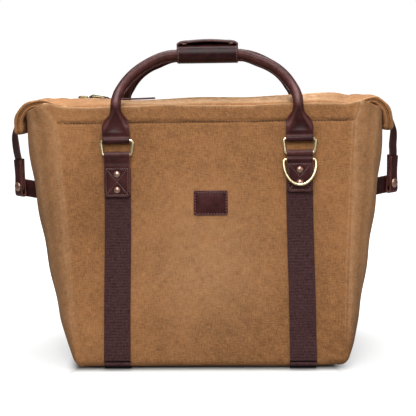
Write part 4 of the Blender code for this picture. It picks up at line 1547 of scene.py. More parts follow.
    def build_lining(self, shop: Workshop) -> None:
        """The lining: the body's own section drawn in a little, from a flat floor up to its rim.

        Args:
            shop: Workshop that makes the pieces.
        """
        form = self.form
        gap = self.lining_gap
        floor = self.lining_floor
        share = np.concatenate([np.linspace(0.02, 1.0, 14), np.ones(60)])[:, None]
        rise = np.concatenate([np.zeros(14), np.linspace(0.0, 1.0, 61)[1:]])[:, None]
        z = floor + rise * (self.lining_top - floor)
        t = np.linspace(0.0, 2 * np.pi, 120, endpoint=False)[None]
        half = form.half_depth(z) - gap
        flat_sine = np.sign(np.sin(t)) * np.abs(np.sin(t)) ** 0.35
        right = form.reach(Side.RIGHT, z) - gap * 2.5
        left = form.reach(Side.LEFT, z) - gap * 2.5
        along_x = np.sign(np.cos(t)) * np.abs(np.cos(t)) ** 0.62
        x = np.where(along_x > 0, right, left) * along_x * 0.97
        pleat = 1.0 - 0.004 * (1.0 + np.sin(14.0 * t + 20.0 * z))
        points = np.stack([x * share * pleat + CENTRE_X, half * flat_sine * share * pleat, z + 0 * t], -1)
        points[0, :, :2] = points[0, :, :2].mean(0)
        surface = shell(points, self.lining_cloth, loop=True)
        piece = shop.ride("lining_bag", surface, Look.LINING, "bag", "lining")


@dataclass
class StrapSet:
    """Webbing straps, ring tabs, rivets, rings and D-rings."""

    form: BodyForm
    strap_x: float = 0.130
    foot_flare: float = 0.0024
    half_width: float = 0.019
    thickness: float = 0.0022
    gap: float = 0.0002
    strap_top: float = 0.288
    rib: float = 0.0042
    rib_height: float = 0.00016
    # Fold and crease near the foot: height, width and depth; they also place a painted highlight on the fold
    # and painted shade in the crease.
    fold: tuple[float, float, float] = (0.0094, 0.0013, 0.0012)
    crease: tuple[float, float, float] = (0.0124, 0.0015, 0.0014)
    shade_top: float = 0.0086
    tab_half: float = 0.0186
    tab_leather: float = 0.002
    tab_layer: float = 0.00115
    tab_centre: float = 0.0052
    tab_corner: float = 0.0058
    plate_top: float = 0.2895
    puff: float = 0.0003
    foot_plain: float = 0.2470
    foot_d: float = 0.2520
    rivets_plain: tuple[float, float] = (0.2790, 0.2565)
    rivets_d: tuple[float, float] = (0.2830, 0.2645)
    rivet_head: float = 0.0046
    rivet_rise: float = 0.0023
    ring_bar: float = 0.3068
    ring_height: float = 0.0205
    ring_half: float = 0.0228
    ring_wire: float = 0.0021
    ring_eye: float = 0.0037
    d_bar: float = 0.2978
    d_half: float = 0.023
    d_drop: float = 0.037
    d_corner: float = 0.004
    d_wire: float = 0.0019
    d_eye: float = 0.0032
    d_lean: float = math.radians(12.5)
    corner: float = 0.0042
    narrow: float = 0.0016
    seam_inset: float = 0.0030
    sewing: Sewing = Sewing(0.0031, 0.00055)

    def build(self, shop: Workshop) -> None:
        """Make the straps and everything that hangs on their tops.

        Args:
            shop: Workshop that makes the pieces.
        """
        for side in Side:
            self.build_webbing(shop, side)
        for face in Face:
            for side in Side:
                self.build_tab(shop, face, side)
                self.build_ring(shop, face, side)

    def wall_path(self, lift: float) -> tuple[np.ndarray, np.ndarray]:
        """Depth and height of the wall from its strap top to the middle of the base, at a lift.

        Args:
            lift: Distance out from the canvas.

        Returns:
            Depths and heights, from the top down.
        """
        form = self.form
        z = np.linspace(self.strap_top * math.cos(form.tilt), form.foot + form.foot_radius, 200)
        a = np.linspace(0.0, math.pi / 2, 24)[1:]
        z = np.concatenate([z, form.foot + form.foot_radius * (1.0 - np.sin(a))])
        y = -form.half_depth(z)
        y = np.concatenate([y, np.linspace(y[-1], 0.0, 60)[1:]])
        z = np.concatenate([z, np.full(59, form.foot)])
        run = np.stack([y, z], -1)
        tangent = unit(np.gradient(run, axis=0))
        normal = np.stack([tangent[:, 1], -tangent[:, 0]], -1)
        return run[:, 0] + normal[:, 0] * lift, run[:, 1] + normal[:, 1] * lift

    def build_webbing(self, shop: Workshop, side: Side) -> None:
        """One strap: a ribbed band down the front, under the base and up the back.

        Args:
            shop: Workshop that makes the pieces.
            side: Which end.
        """
        form = self.form
        y, z = self.wall_path(self.gap + self.thickness / 2)
        path = np.stack([np.concatenate([y, -y[-2::-1]]), np.concatenate([z, z[-2::-1]])], -1)
        total = along(path)[-1]
        count = int(total / self.rib) * 8
        run = lines(count, total, self.thickness / 2) * total
        line = resample(path, run)
        y, z = line[:, :1], line[:, 1:]
        a = span(9, self.half_width, self.thickness / 2)
        flare = self.foot_flare * (1.0 - step(z, 0.06, 0.26))
        x = side.value * (self.strap_x + flare) + a[None] * self.half_width
        follow = form.relief(x, z) * step(z, 0.02, 0.05)
        fold, crease = bump(z, *self.fold[:2]), bump(z, *self.crease[:2])
        depth = y + np.sign(y) * (follow + (self.fold[2] * fold - self.crease[2] * crease))
        middle = form.lifted(np.stack([x + CENTRE_X, depth, np.broadcast_to(z, x.shape)], -1))
        wave = np.cos(2 * np.pi * run / self.rib)[:, None]
        body = np.clip((1.0 - np.abs(a)) * 14.0, 0.25, 1.0)[None]
        thickness = self.thickness - self.rib_height * (1.0 - wave) * body
        # Painted shade and highlight in the mask: darker in the crease, lighter on the fold, near-black below
        # shade_top where the strap turns under the base.
        shade = 0.9 * crease - 0.5 * fold + 1.0 - step(z, 0.0040, self.shade_top)
        wear = np.clip(0.5 + 0.22 * wave * body + 0.3 * (1.0 - body) - shade, 0.0, 1.0)
        flat = np.stack(np.broadcast_arrays(x, run[:, None]), -1)
        wear = np.broadcast_to(wear, x.shape)
        surface = shell(middle, thickness, rim=self.thickness / 2, wear=wear, flat=flat)
        name = side.label + "_webbing"
        shop.ride(name + "_strap", surface, Look.WEBBING, "bag", name)

    def has_d(self, face: Face, side: Side) -> bool:
        """Whether a tab holds a D-ring: front right and back left."""
        return side.value == -face.value

    def tab_line(self, foot: float, with_d: bool) -> np.ndarray:
        """Middle line of a folded tab, as slope and outward distances: up, round the bar, down.

        The gap between the leaves is the layer, or sqrt(eye^2 - d^2) beside a ring's bar.

        Args:
            foot: Slope distance of the lower edge.
            with_d: Whether a D-ring's bar also lies in it.

        Returns:
            Array of plane points.
        """
        s = np.linspace(foot, self.ring_bar, 260)
        plate = 1.0 - step(s, self.plate_top - 0.004, self.plate_top + 0.007)
        gap = self.tab_layer + self.puff * plate - 0.0003 * bump(s, 0.2955, 0.004)
        bars = [(self.ring_bar, self.ring_eye), (self.d_bar, self.d_eye)]
        for bar, eye in bars if with_d else bars[:1]:
            gap = np.maximum(gap, np.sqrt(np.clip(eye**2 - (s - bar) ** 2, 0.0, None)))
        kernel = np.ones(9) / 9.0
        padded = np.concatenate([np.full(4, gap[0]), gap, np.full(4, gap[-1])])
        gap = np.convolve(padded, kernel, "valid")
        gap[-1] = self.ring_eye
        front = np.stack([s, self.tab_centre + gap], -1)
        over = arc_points((self.ring_bar, self.tab_centre), self.ring_eye, 90, -90, 24)[1:-1]
        behind = np.stack([s[::-1], self.tab_centre - gap[::-1]], -1)
        return np.concatenate([front, over, behind])

    def build_tab(self, shop: Workshop, face: Face, side: Side) -> None:
        """One ring tab with its sewn box and cross, and its two rivets.

        Args:
            shop: Workshop that makes the pieces.
            face: Which face.
            side: Which end.
        """
        form = self.form
        with_d = self.has_d(face, side)
        foot = self.foot_d if with_d else self.foot_plain
        rivets = self.rivets_d if with_d else self.rivets_plain
        x0 = -face.value * side.value * self.strap_x
        line, run = rim_spaced(self.tab_line(foot, with_d), 200, self.tab_leather / 2)
        a = span(56, self.tab_half, self.tab_leather / 2)
        near_end = np.minimum(np.minimum(run, run[-1] - run), self.tab_corner)
        cut = self.tab_corner - np.sqrt(self.tab_corner**2 - (self.tab_corner - near_end) ** 2)
        half = self.tab_half - cut
        high = rivets[0] + 0.0085
        seams = self.tab_seams(foot + self.seam_inset, high)
        across = a[None] * half[:, None]
        flat = np.stack([across, line[:, :1] + 0 * across], -1)
        sewn = np.min([edge_distance(flat, path) for path in seams], 0)
        seats = [np.linalg.norm(flat - [0.0, s], axis=-1) for s in rivets]
        pressed = -0.00045 * bump(sewn, 0.0, 0.0012)
        pressed = pressed - 0.0007 * sum(bump(d, 0.0056, 0.0014) for d in seats)
        faded = 1.0 - step(line[:, :1], high + 0.002, high + 0.005)
        pressed = pressed * (line[:, 1:] > self.tab_centre) * faded
        middle = form.face(x0 + across, line[:, :1], line[:, 1:] + pressed)
        edge = half[:, None] * (1.0 - np.abs(a))[None]
        wear = 0.8 * bump(edge, 0.0, 0.0009) + 0.5 * bump(run, 0.0, 0.001)[:, None]
        crown = bump(line[:, 0], self.ring_bar, 0.0045)[:, None] * (line[:, 1:] > self.tab_centre)
        wear = np.clip(wear + 0.3 * crown, 0.0, 1.0)
        name = face.label + "_" + side.label
        surface = shell(middle, self.tab_leather, wear=np.broadcast_to(wear, middle.shape[:2]))
        shop.ride(name + "_ring_tab", surface.turned(face), Look.LEATHER, "bag", name + "_tab")
        level = self.tab_centre + self.tab_layer + self.puff + self.tab_leather / 2
        rows = joined([self.sewn(x0, path, level - 0.0004) for path in seams])
        shop.ride(name + "_tab_stitching", rows.turned(face), Look.LEATHER_THREAD, "bag")
        for s, label in zip(rivets, ("_upper_rivet", "_lower_rivet")):
            rivet = turned_form(self.rivet_profile(), form.face(x0, s, level + 0.0002), form.out)
            node = name + label
            shop.ride(node + "_head", rivet.turned(face), Look.COPPER, "bag", node)

    def tab_seams(self, low: float, high: float) -> list[np.ndarray]:
        """Sewn lines of a tab: a box with cut lower corners, a cross and the box's top.

        Args:
            low: Slope distance of the lower line.
            high: Slope distance of the upper line.

        Returns:
            A path of across and slope points for each line.
        """
        cut, inner = self.seam_inset, self.tab_half - self.seam_inset
        left = [(-inner, high), (-inner, low + cut), (cut - inner, low)]
        right = [(inner - cut, low), (inner, low + cut), (inner, high)]
        rising = [(-inner, low), (inner, high)]
        falling = [(-inner, high), (inner, low)]
        top = [(-inner, high), (inner, high)]
        return [np.array(path) for path in (left + right, rising, falling, top)]

    def sewn(self, x0: float, path: np.ndarray, level: float) -> Surface:
        """A row of stitches on a tab along plane points.

        Args:
            x0: Middle of the tab.
            path: Across and slope points.
            level: Distance out from the face.

        Returns:
            The stitches.
        """
        run = along(path)[-1]
        line = resample(path, np.linspace(0.0, run, max(8, int(run / 0.001))))
        seam = self.form.face(x0 + line[:, 0], line[:, 1], level)
        return stitches(seam, self.form.out, self.sewing)

    def rivet_profile(self) -> np.ndarray:
        """A shank, a thin flange and a domed head.

        Returns:
            Radius and height pairs.
        """
        head, edge = self.rivet_head, 0.0007
        shank = [(0.0, -0.0075), (0.0016, -0.0075), (0.0016, 0.0)]
        flange = [(head - 0.0003, 0.0), (head, 0.0003), (head - 0.0002, edge)]
        return np.concatenate([shank, flange, dome(head * 0.86, edge, self.rivet_rise - edge)])

    def build_ring(self, shop: Workshop, face: Face, side: Side) -> None:
        """The rectangular ring, narrower at its lower bar, and the D-ring where there is one.

        Args:
            shop: Workshop that makes the pieces.
            face: Which face.
            side: Which end.
        """
        form = self.form
        x0 = -face.value * side.value * self.strap_x
        w, h, corner = self.ring_half, self.ring_height, self.corner
        low = arc_points((w - self.narrow - corner, corner), corner, -90, -10, 8)
        half = np.concatenate([low, arc_points((w - corner, h - corner), corner, 0, 90, 8)])
        loop = closed_loop(np.concatenate([half, half[::-1] * [-1.0, 1.0]]), 96)
        name = face.label + "_" + side.label + "_ring"
        path = form.face(x0 + loop[:, 0], self.ring_bar + loop[:, 1], self.tab_centre)
        ring = tube(path, self.ring_wire, form.out, 18, True).turned(face)
        shop.ride(name + "_loop", ring, Look.BRASS, face.label + "_rings", name)
        if not self.has_d(face, side):
            return
        a = np.radians(np.linspace(0.0, 180.0, 60))
        depth = -self.d_corner - (self.d_drop - self.d_corner) * np.sin(a)
        bow = np.stack([self.d_half * np.cos(a), depth], -1)
        middle = (self.d_half - self.d_corner, -self.d_corner)
        lead = arc_points(middle, self.d_corner, 90, 0, 8)[:-1]
        loop = closed_loop(np.concatenate([lead, bow, lead[::-1] * [-1.0, 1.0]]), 120)
        drop = form.up * math.cos(self.d_lean) - form.out * math.sin(self.d_lean)
        path = form.face(x0 + loop[:, 0], self.d_bar, self.tab_centre) + drop * loop[:, 1:]
        lying = form.out * math.cos(self.d_lean) + form.up * math.sin(self.d_lean)
        ring = tube(path, self.d_wire, lying, 18, True).turned(face)
        shop.ride(face.label + "_d_loop", ring, Look.BRASS, face.label + "_d", face.label + "_d_ring")


@dataclass
class HandlePair:
    """The two rolled handles and the grip that holds them together."""

    form: BodyForm
    straps: StrapSet
    leather: float = 0.002
    roll_half: float = 0.0195
    roll_angle: float = math.radians(177.0)
    flat_angle: float = math.radians(0.6)
    arch_top: float = 0.4455
    arch_flat: float = 0.046
    arch_foot: float = 0.376
    leg_x: float = 0.1280
    leg_y_top: float = -0.0578
    leg_y_arch: float = -0.0090
    lean_power: float = 1.3
    leg_foot: float = 0.369
    fan_line: tuple = (
        (0.0310, 0.0082),
        (0.0190, 0.0048),
        (0.0100, 0.0024),
        (0.0060, 0.0016),
        (0.0038, 0.0017),
        (0.0024, 0.0026),
        (0.0010, 0.0032),
        (-0.0008, 0.0033),
        (-0.0024, 0.0023),
        (-0.0034, 0.0000),
        (-0.0024, -0.0023),
        (0.0000, -0.0031),
        (0.0040, -0.0031),
        (0.0130, -0.0030),
    )
    fan_length: float = 0.0385
    open_share: float = 0.82
    dent: float = 0.0048
    flange: float = 0.0034
    lean: float = 0.0022
    drop: tuple = ((0.0031, 0.050, 0.100), (0.0043, 0.046, 0.075))
    core_radius: float = 0.0046
    core_foot: float = 0.3840
    wrap_half: float = 0.0445
    wrap_leather: float = 0.0022
    wrap_radius: float = 0.0113
    wrap_end: float = 0.004
    wrap_lift: float = 0.0180
    flap_rise: tuple = ((0.0075, 0.0136), (0.0030, 0.0166), (-0.0030, 0.0180))
    flap_edge: float = -0.0135
    flap_lip: tuple = ((-0.0152, 0.0175), (-0.0162, 0.0163), (-0.0165, 0.0150))
    flap_droop: float = 0.0022
    wrap_tall: float = 1.18
    snap_x: float = 0.034
    snap_y: float = -0.0130
    snap_radius: float = 0.0050
    snap_profile: tuple = (
        (0.0, 0.0),
        (0.6, 0.0),
        (0.7, 0.4),
        (1.0, 0.5),
        (1.0, 0.85),
        (0.85, 1.0),
        (0.0, 1.0),
    )
    sewn_from: float = 0.404
    flange_leather: float = 0.0030
    flange_rim: float = 0.0011
    sewing: Sewing = Sewing(0.0034, 0.00045)
    grip_sewing: Sewing = Sewing(0.0031, 0.0005)

    def build(self, shop: Workshop) -> None:
        """Make the handles, their sewn flanges and the grip.

        Args:
            shop: Workshop that makes the pieces.
        """
        rows, wear, flange, centre = self.half_handle()
        cord = centre[centre[:, 2] > self.core_foot][:, None]
        flip = np.array([-1.0, 1.0, 1.0])
        shift = np.array([CENTRE_X, 0.0, 0.0])
        whole = []
        for grid in (rows, flange, cord):
            left = grid * flip
            right = grid.copy()
            for half, (most, start, end) in zip((left, right), self.drop):
                z = half[..., 2]
                z -= most * step(np.abs(half[..., 0]), start, end) * step(z, 0.380, 0.412)
            z = left[..., 2]
            bent = (1.0 - step(z, 0.385, 0.438)) * (0.45 + 0.55 * step(z, 0.33, 0.37))
            left[..., 0] -= self.lean * bent
            whole.append(np.concatenate([left[:0:-1], right]) + shift)
        front = shell(whole[0], self.leather, wear=np.concatenate([wear[:0:-1], wear]))
        seam = shell(whole[1], self.flange_leather, rim=self.flange_rim)
        core = tube(whole[2][:, 0], self.core_radius, np.array([0.0, 1.0, 0.0]), 14)
        line = whole[1][:, 5] + np.array([0.0, -0.0014, 0.0])
        line = line[line[:, 2] > self.sewn_from]
        thread = stitches(line, np.array([0.0, -1.0, 0.0]), self.sewing)
        for face in Face:
            name = face.label
            for kind, surface, look, nodes in (
                ("_rolled_handle", front, Look.LEATHER, [name + "_handle"]),
                ("_handle_flange", seam, Look.LEATHER, []),
                ("_handle_stitching", thread, Look.LEATHER_THREAD, []),
                ("_cord_core", core, Look.CORD, [name + "_handle_core"]),
            ):
                shop.ride(name + kind, surface.turned(face), look, name + "_handle_set", *nodes)
        self.build_grip(shop)
        self.build_snaps(shop)

    def leg_y(self, z: np.ndarray) -> np.ndarray:
        """Depth of the front handle's middle at a height above the bag's top."""
        share = np.clip((self.arch_top - z) / (self.arch_top - self.form.height), 0.0, 1.0)
        return self.leg_y_arch + (self.leg_y_top - self.leg_y_arch) * share**self.lean_power

    def roll_line(self) -> tuple[np.ndarray, np.ndarray, np.ndarray]:
        """Middle line of the roll's right half: level, then a quarter ellipse and a short leg.

        Returns:
            Points, directions along the line and directions to the front.
        """
        a = np.radians(np.linspace(90.0, 0.0, 90))
        arch_x = self.arch_flat + (self.leg_x - self.arch_flat) * np.cos(a)
        arch_z = self.arch_foot + (self.arch_top - self.arch_foot) * np.sin(a)
        x = [np.linspace(0.0, self.arch_flat, 20)[:-1], arch_x, np.full(6, self.leg_x)]
        leg_z = np.linspace(self.arch_foot, self.leg_foot, 7)[1:]
        z = np.concatenate([np.full(19, self.arch_top), arch_z, leg_z])
        centre = np.stack([np.concatenate(x), self.leg_y(z), z], -1)
        tangent = unit(np.gradient(centre, axis=0))
        tangent[0] = (1.0, 0.0, 0.0)
        return centre, tangent, unit(np.array([0.0, -1.0, 0.0]) + tangent * tangent[:, 1:2])

    def fan_path(self, last: np.ndarray, heading: np.ndarray) -> tuple[np.ndarray, ...]:
        """The strip below the roll: a smooth path through the fan's points, round the ring's bar.

        Args:
            last: Last point of the roll's front line.
            heading: Direction of the roll there.

        Returns:
            Points, directions along the path and directions outward.
        """
        form, straps = self.form, self.straps
        upper_bar = straps.ring_bar + straps.ring_height
        bar = form.face(straps.strap_x - CENTRE_X, upper_bar, straps.tab_centre)
        start = np.array([(last - bar) @ form.up, (last - bar) @ form.out])
        lead = start + np.array([heading @ form.up, heading @ form.out]) * -0.004
        plane = eased_path([lead, start, *self.fan_line], 240)
        plane = plane[plane[:, 0].argmax() + 12 :]
        plane = plane[along(plane) > 0.0045]
        run = unit(np.gradient(plane, axis=0))
        shift = np.array([straps.strap_x - self.leg_x, 0.0, 0.0])
        sway = step(along(plane), 0.0, 0.026)[:, None] * shift
        fan = bar * [0, 1, 1] + np.array([self.leg_x, 0, 0]) + sway
        fan = fan + plane[:, :1] * form.up + plane[:, 1:] * form.out
        ahead = run[:, :1] * form.up + run[:, 1:] * form.out
        return fan, ahead, run[:, 1:] * form.up - run[:, :1] * form.out

    def half_handle(self) -> tuple[np.ndarray, np.ndarray, np.ndarray, np.ndarray]:
        """Mid-surface of the right half of a front handle.

        A strip of even width is rolled across its run: at a roll of phi its points are R sin(u phi)
        across and R (1 - cos(u phi)) behind its front line, with R the half width over phi. The roll
        opens out to flat in the fan, then the strip turns round the ring's bar and ends behind it.

        Returns:
            Grid of points, grid of wear, grid of the sewn flange and the roll's middle line.
        """
        centre, tangent, facing = self.roll_line()
        radius = self.roll_half / self.roll_angle
        front = centre + facing * radius
        fan = self.fan_path(front[-1], tangent[-1])
        pairs = zip((front, tangent, facing), fan)
        rows, ahead, outward = (np.concatenate(pair) for pair in pairs)
        run = along(rows)
        total = run[-1]
        rim = self.leather / 2
        at = np.linspace(0.0, total - rim, 210)
        at = np.concatenate([at, total - rim * np.cos(RIM_ANGLES[1:])])
        fan_start = along(front)[-1] - 0.002
        rows, ahead, outward = (sampled(v, run, at) for v in (rows, ahead, outward))
        across = unit(np.cross(outward, ahead))
        outward = unit(np.cross(ahead, across))
        share = np.clip((at - fan_start) / self.fan_length, 0.0, 1.0)[:, None]
        opened = step(share[:, 0], 0.0, self.open_share)
        roll = self.roll_angle + (self.flat_angle - self.roll_angle) * opened
        u = span(48, self.roll_half, rim)
        size = (self.roll_half / roll)[:, None, None]
        bend = (u[None] * roll[:, None])[..., None]
        points = rows[:, None] + across[:, None] * size * np.sin(bend)
        points = points - outward[:, None] * size * (1.0 - np.cos(bend))
        spread = np.clip(0.08 + 0.90 * share, 0.0, 0.92)
        hollow = self.dent * np.sin(np.pi * np.clip(share / 0.92, 0.0, 1.0)) ** 0.8
        hollow = hollow * np.clip(1.0 - (u[None] / spread) ** 2, 0.0, 1.0)
        points = points - outward[:, None] * hollow[..., None]
        in_fan = np.sin(np.pi * share) ** 0.5
        off = np.abs(u)[None]
        wear = 0.30 * bump(off, 0.0, 0.25) * (share <= 0)
        wear = wear + 0.55 * bump(1.0 - off, 0.0, 0.03) * step(share, 0.3, 0.8)
        wear = wear + 0.45 * bump(off, spread, 0.10) * in_fan
        wear = wear + 0.35 * bump(at, fan_start + 0.0415, 0.0016)[:, None]
        inward = np.cross(tangent, facing)
        wide = self.flange * step(centre[:, 2], 0.380, 0.405) + 0.0002
        w = lines(5, self.flange, self.flange_rim)[None, :, None]
        flange = centre[:, None] + inward[:, None] * (radius + 0.0004 + w * wide[:, None, None])
        flange = flange + np.array([0.0, 0.0004, 0.0])
        return points, np.clip(wear, 0.0, 1.0) * np.ones(points.shape[:2]), flange, centre

    def build_grip(self, shop: Workshop) -> None:
        """The wrap on the front handle and the flap round both: lines carried across, crowned.

        Args:
            shop: Workshop that makes the pieces.
        """
        r, y = self.wrap_radius, -self.leg_y_arch
        wrap = np.concatenate([[(-0.0003, -r)], arc_points((-y, 0.0), r, 270, 90, 40), [(self.wrap_end, r)]])
        wrap[:, 1] *= np.where(wrap[:, 1] > 0, self.wrap_tall, 1.0)
        tail = [*self.flap_rise, (self.flap_edge, self.wrap_lift), *self.flap_lip]
        flap = np.concatenate([[(0.0003, -r)], arc_points((y, 0.0), r, -90, 70, 36), tail])
        flap = np.concatenate([flap[:34], eased_path(flap[33:], 60)])
        for name, line, body, node, lift, droop in (
            ("grip_wrap_leather", wrap, "front_handle_set", "grip_wrap", 0.0, 0.0),
            ("grip_flap_leather", flap, "grip_flap_set", "grip_flap", 0.0031, self.flap_droop),
        ):
            path, run = rim_spaced(line, 80, self.wrap_leather / 2)
            a = span(60, self.wrap_half, self.wrap_leather / 2)
            crown = np.cos(a * np.pi / 2) ** 1.2 - 0.12 + 0.16 * bump(np.abs(a), 0.76, 0.12)
            crown = lift * crown - droop * step(np.abs(a), 0.86, 1.0)
            rise = crown[:, None] * step(path[:, 1], 0.010, 0.0150)[None]
            x = np.broadcast_to(a[:, None] * self.wrap_half + CENTRE_X, (len(a), len(run)))
            pinch = 1.0 - 0.02 * (np.abs(a) ** 6)[:, None]
            z = self.arch_top + path[:, 1] * pinch + rise
            middle = np.stack([x, np.broadcast_to(path[:, 0], x.shape), z], -1)
            edge = (1.0 - np.abs(a))[:, None] * self.wrap_half
            wear = 0.6 * bump(edge, 0.0, 0.0014) + 0.5 * bump(run[-1] - run, 0.0, 0.0014)[None]
            wear = np.broadcast_to(np.clip(wear, 0, 1), x.shape)
            surface = shell(middle, self.wrap_leather, wear=wear)
            shop.ride(name, surface, Look.GRIP_LEATHER, body, node)
            normal = grid_normals(middle)
            rows = []
            for column in (int(np.argmin(np.abs(a - k))) for k in (-0.93, 0.93)):
                spoke = middle[column, 40] - [middle[column, 40, 0], 0.0, self.arch_top]
                sign = 1.0 if np.dot(normal[column, 40], spoke) > 0 else -1.0
                seam = middle[column] + normal[column] * sign * self.wrap_leather / 2
                rows.append(stitches(seam[4:-4], normal[column, 4:-4] * sign, self.grip_sewing))
            shop.ride(name + "_stitching", joined(rows), Look.LEATHER_THREAD, body)

    def build_snaps(self, shop: Workshop) -> None:
        """The two snaps between the wrap and the flap.

        Args:
            shop: Workshop that makes the pieces.
        """
        r = self.wrap_radius
        level = math.sqrt(1.0 - ((self.snap_y - self.leg_y_arch) / r) ** 2)
        low = self.arch_top + r * self.wrap_tall * level + self.wrap_leather / 2 + 0.0002
        high = self.arch_top + self.wrap_lift - self.wrap_leather / 2 - 0.0006
        profile = np.array(self.snap_profile) * [self.snap_radius, high - low]
        for side in Side:
            origin = np.array([side.value * self.snap_x + CENTRE_X, self.snap_y, low])
            stud = turned_form(profile, origin, np.array([0.0, 0.0, 1.0]))
            name = side.label + "_grip_snap"
            shop.ride(name + "_stud", stud, Look.COPPER, "grip_flap_set", name)


@dataclass
class ZipTop:
    """The canvas strips along the zip, the chain, the slider and its pull."""

    top_edge: float = 0.3725
    ridge: float = 0.3825
    half_depth: float = 0.044
    slot: float = 0.005
    canvas: float = 0.0020
    end_reach: float = 0.2105
    slot_end: float = 0.198
    flap_left: float = -0.066
    flap_right: float = 0.150
    split: float = 0.042
    bend_left: tuple[float, float] = (-0.014, 0.05)
    bend_right: tuple[float, float] = (-0.003, -0.062)
    narrow_start: float = 0.176
    narrow: float = 0.0155
    edge_gap: float = 0.0006
    edge_drop: float = 0.0030
    end_drop: float = 0.0022
    swell: float = 0.0016
    crease: float = 0.0019
    tape_half: float = 0.013
    tape: float = 0.0008
    tape_drop: float = 0.0032
    pitch: float = 0.0026
    tooth: tuple[float, float, float] = (0.0012, 0.0036, 0.0024)
    chain_end: float = 0.196
    slider_x: float = -0.182
    slider_length: float = 0.024
    slider_half: float = 0.0046
    lid: float = 0.0016
    pivot: tuple[float, float] = (0.0030, 0.0021)
    pull_length: float = 0.030
    pull_half: float = 0.0040
    tab_length: float = 0.071
    tab_half: float = 0.0045
    raise_pull: float = 0.0032
    slider_back: float = 0.002
    play: float = 0.0003
    pull_leather: float = 0.0025
    pull_over: float = 0.3897
    sewing: Sewing = Sewing(0.0034, 0.00036)
    pull_sewing: Sewing = Sewing(0.0030, 0.0003)
    bridge: tuple = (
        (-0.0085, -0.0006),
        (-0.0080, 0.0026),
        (-0.0058, 0.0040),
        (0.0020, 0.0040),
        (0.0046, 0.0026),
        (0.0052, -0.0006),
    )
    tab_end: tuple = ((0.0, -0.0022), (-0.006, -0.0026), (-0.03, -0.0032))
    tab_fold: tuple = (
        (0.008, -0.0032),
        (0.0005, -0.0004),
        (-0.0030, -0.0022),
        (-0.0016, -0.0044),
        (0.004, -0.0060),
        (0.020, -0.0062),
    )
    sway: tuple = (
        (-0.215, 0.0),
        (-0.190, 0.0014),
        (-0.160, 0.0008),
        (-0.125, -0.0022),
        (-0.100, -0.0028),
        (-0.070, -0.0018),
        (-0.020, 0.0006),
        (0.020, 0.0004),
        (0.060, -0.0003),
        (0.100, 0.0018),
        (0.135, 0.0033),
        (0.165, 0.0050),
        (0.186, 0.0050),
        (0.200, 0.0022),
        (0.215, 0.0),
    )

    def roof(self, y: float) -> float:
        """Height of the plain roof at a depth."""
        return self.top_edge + (self.ridge - self.top_edge) * (1 - abs(y) / self.half_depth) ** 0.9

    @property
    def chain_z(self) -> float:
        """Height of the zip tape."""
        return self.roof(self.slot) - self.canvas / 2 - self.tape_drop

    @property
    def lid_z(self) -> float:
        """Height of the slider's top."""
        return self.chain_z + self.tooth[2] / 2 + self.play + self.lid + self.raise_pull

    @property
    def slider_at(self) -> float:
        """Where the slider's middle is along the zip."""
        return self.slider_x + CENTRE_X - self.slider_back

    def build(self, shop: Workshop) -> None:
        """Make the zip top.

        Args:
            shop: Workshop that makes the pieces.
        """
        for face in Face:
            for side in Side:
                self.build_half(shop, face, side)
        self.build_slider(shop)
        self.build_pull(shop)

    def hold(self, piece: bpy.types.Object) -> None:
        """Bake a half strip's transform into its mesh.

        Args:
            piece: The half strip.
        """
        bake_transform(piece)

    def strip(self, inner: float, outer: float) -> tuple[Surface, Surface]:
        """One half of the front canvas strip.

        It rises from the panel's top edge to the zip as a low roof, w^0.9, with slow swells, a hump
        at the right end and a slanting crease. It narrows where it meets an ear.

        Args:
            inner: Where it starts, across from the middle.
            outer: Where it ends.

        Returns:
            The strip and the stitching beside the zip.
        """
        share = lines(90, abs(outer - inner), self.canvas / 2)
        share = share[share <= 1.0 - 1e-9]
        keep = np.concatenate([np.linspace(0.0, share[8], 6)[:-1], share[8:], [1.0]])
        x = inner + (outer - inner) * keep[:, None]
        w = lines(40, 0.042, self.canvas / 2)[None]
        ends = step(np.abs(x), self.narrow_start, self.end_reach)
        edge = self.half_depth - self.edge_gap - self.narrow * ends
        closed = step(np.abs(x), self.slot_end - 0.010, self.slot_end + 0.002)
        gap = self.slot * (1.0 - closed) + 0.0002
        y = -(edge + (gap - edge) * w)
        rise = self.ridge - self.top_edge
        sway = eased_path(self.sway, 200)
        lift = np.interp(x, sway[:, 0], sway[:, 1])
        z = self.top_edge - self.edge_drop * (1.0 - step(w, 0.0, 0.12)) + (rise + lift) * w**0.9
        swell = self.swell * np.sin(3.2 * w) * np.sin(47.0 * x + 5.0 * w)
        z = z + swell * (0.35 + step(x, 0.06, 0.16))
        slant = y + 0.020 - 0.16 * (x - 0.14)
        z = z + self.crease * bump(slant, 0.0, 0.0032) * bump(x, 0.150, 0.032)
        z = z - self.end_drop * ends * (1.0 - w)
        middle = np.stack([x + CENTRE_X + 0 * w, y, z], -1)
        # Paler along the zip edge and over the strip's middle: rubbed wear and painted top light, fading
        # towards both ends.
        rubbed = 0.60 - 0.42 * step(-x, 0.090, 0.150) - 0.34 * step(x, 0.130, 0.190)
        wear = 0.5 * bump(w, 1.0, 0.06) + rubbed * step(w, 0.1, 0.3)
        column = int(np.argmin(np.abs(w[0] - 0.86)))
        seam = middle[:, column] + np.array([0.0, 0.0, self.canvas / 2])
        thread = stitches(seam, np.array([0.0, -0.2, 1.0]), self.sewing)
        return shell(middle, self.canvas, open_start=True, wear=wear), thread

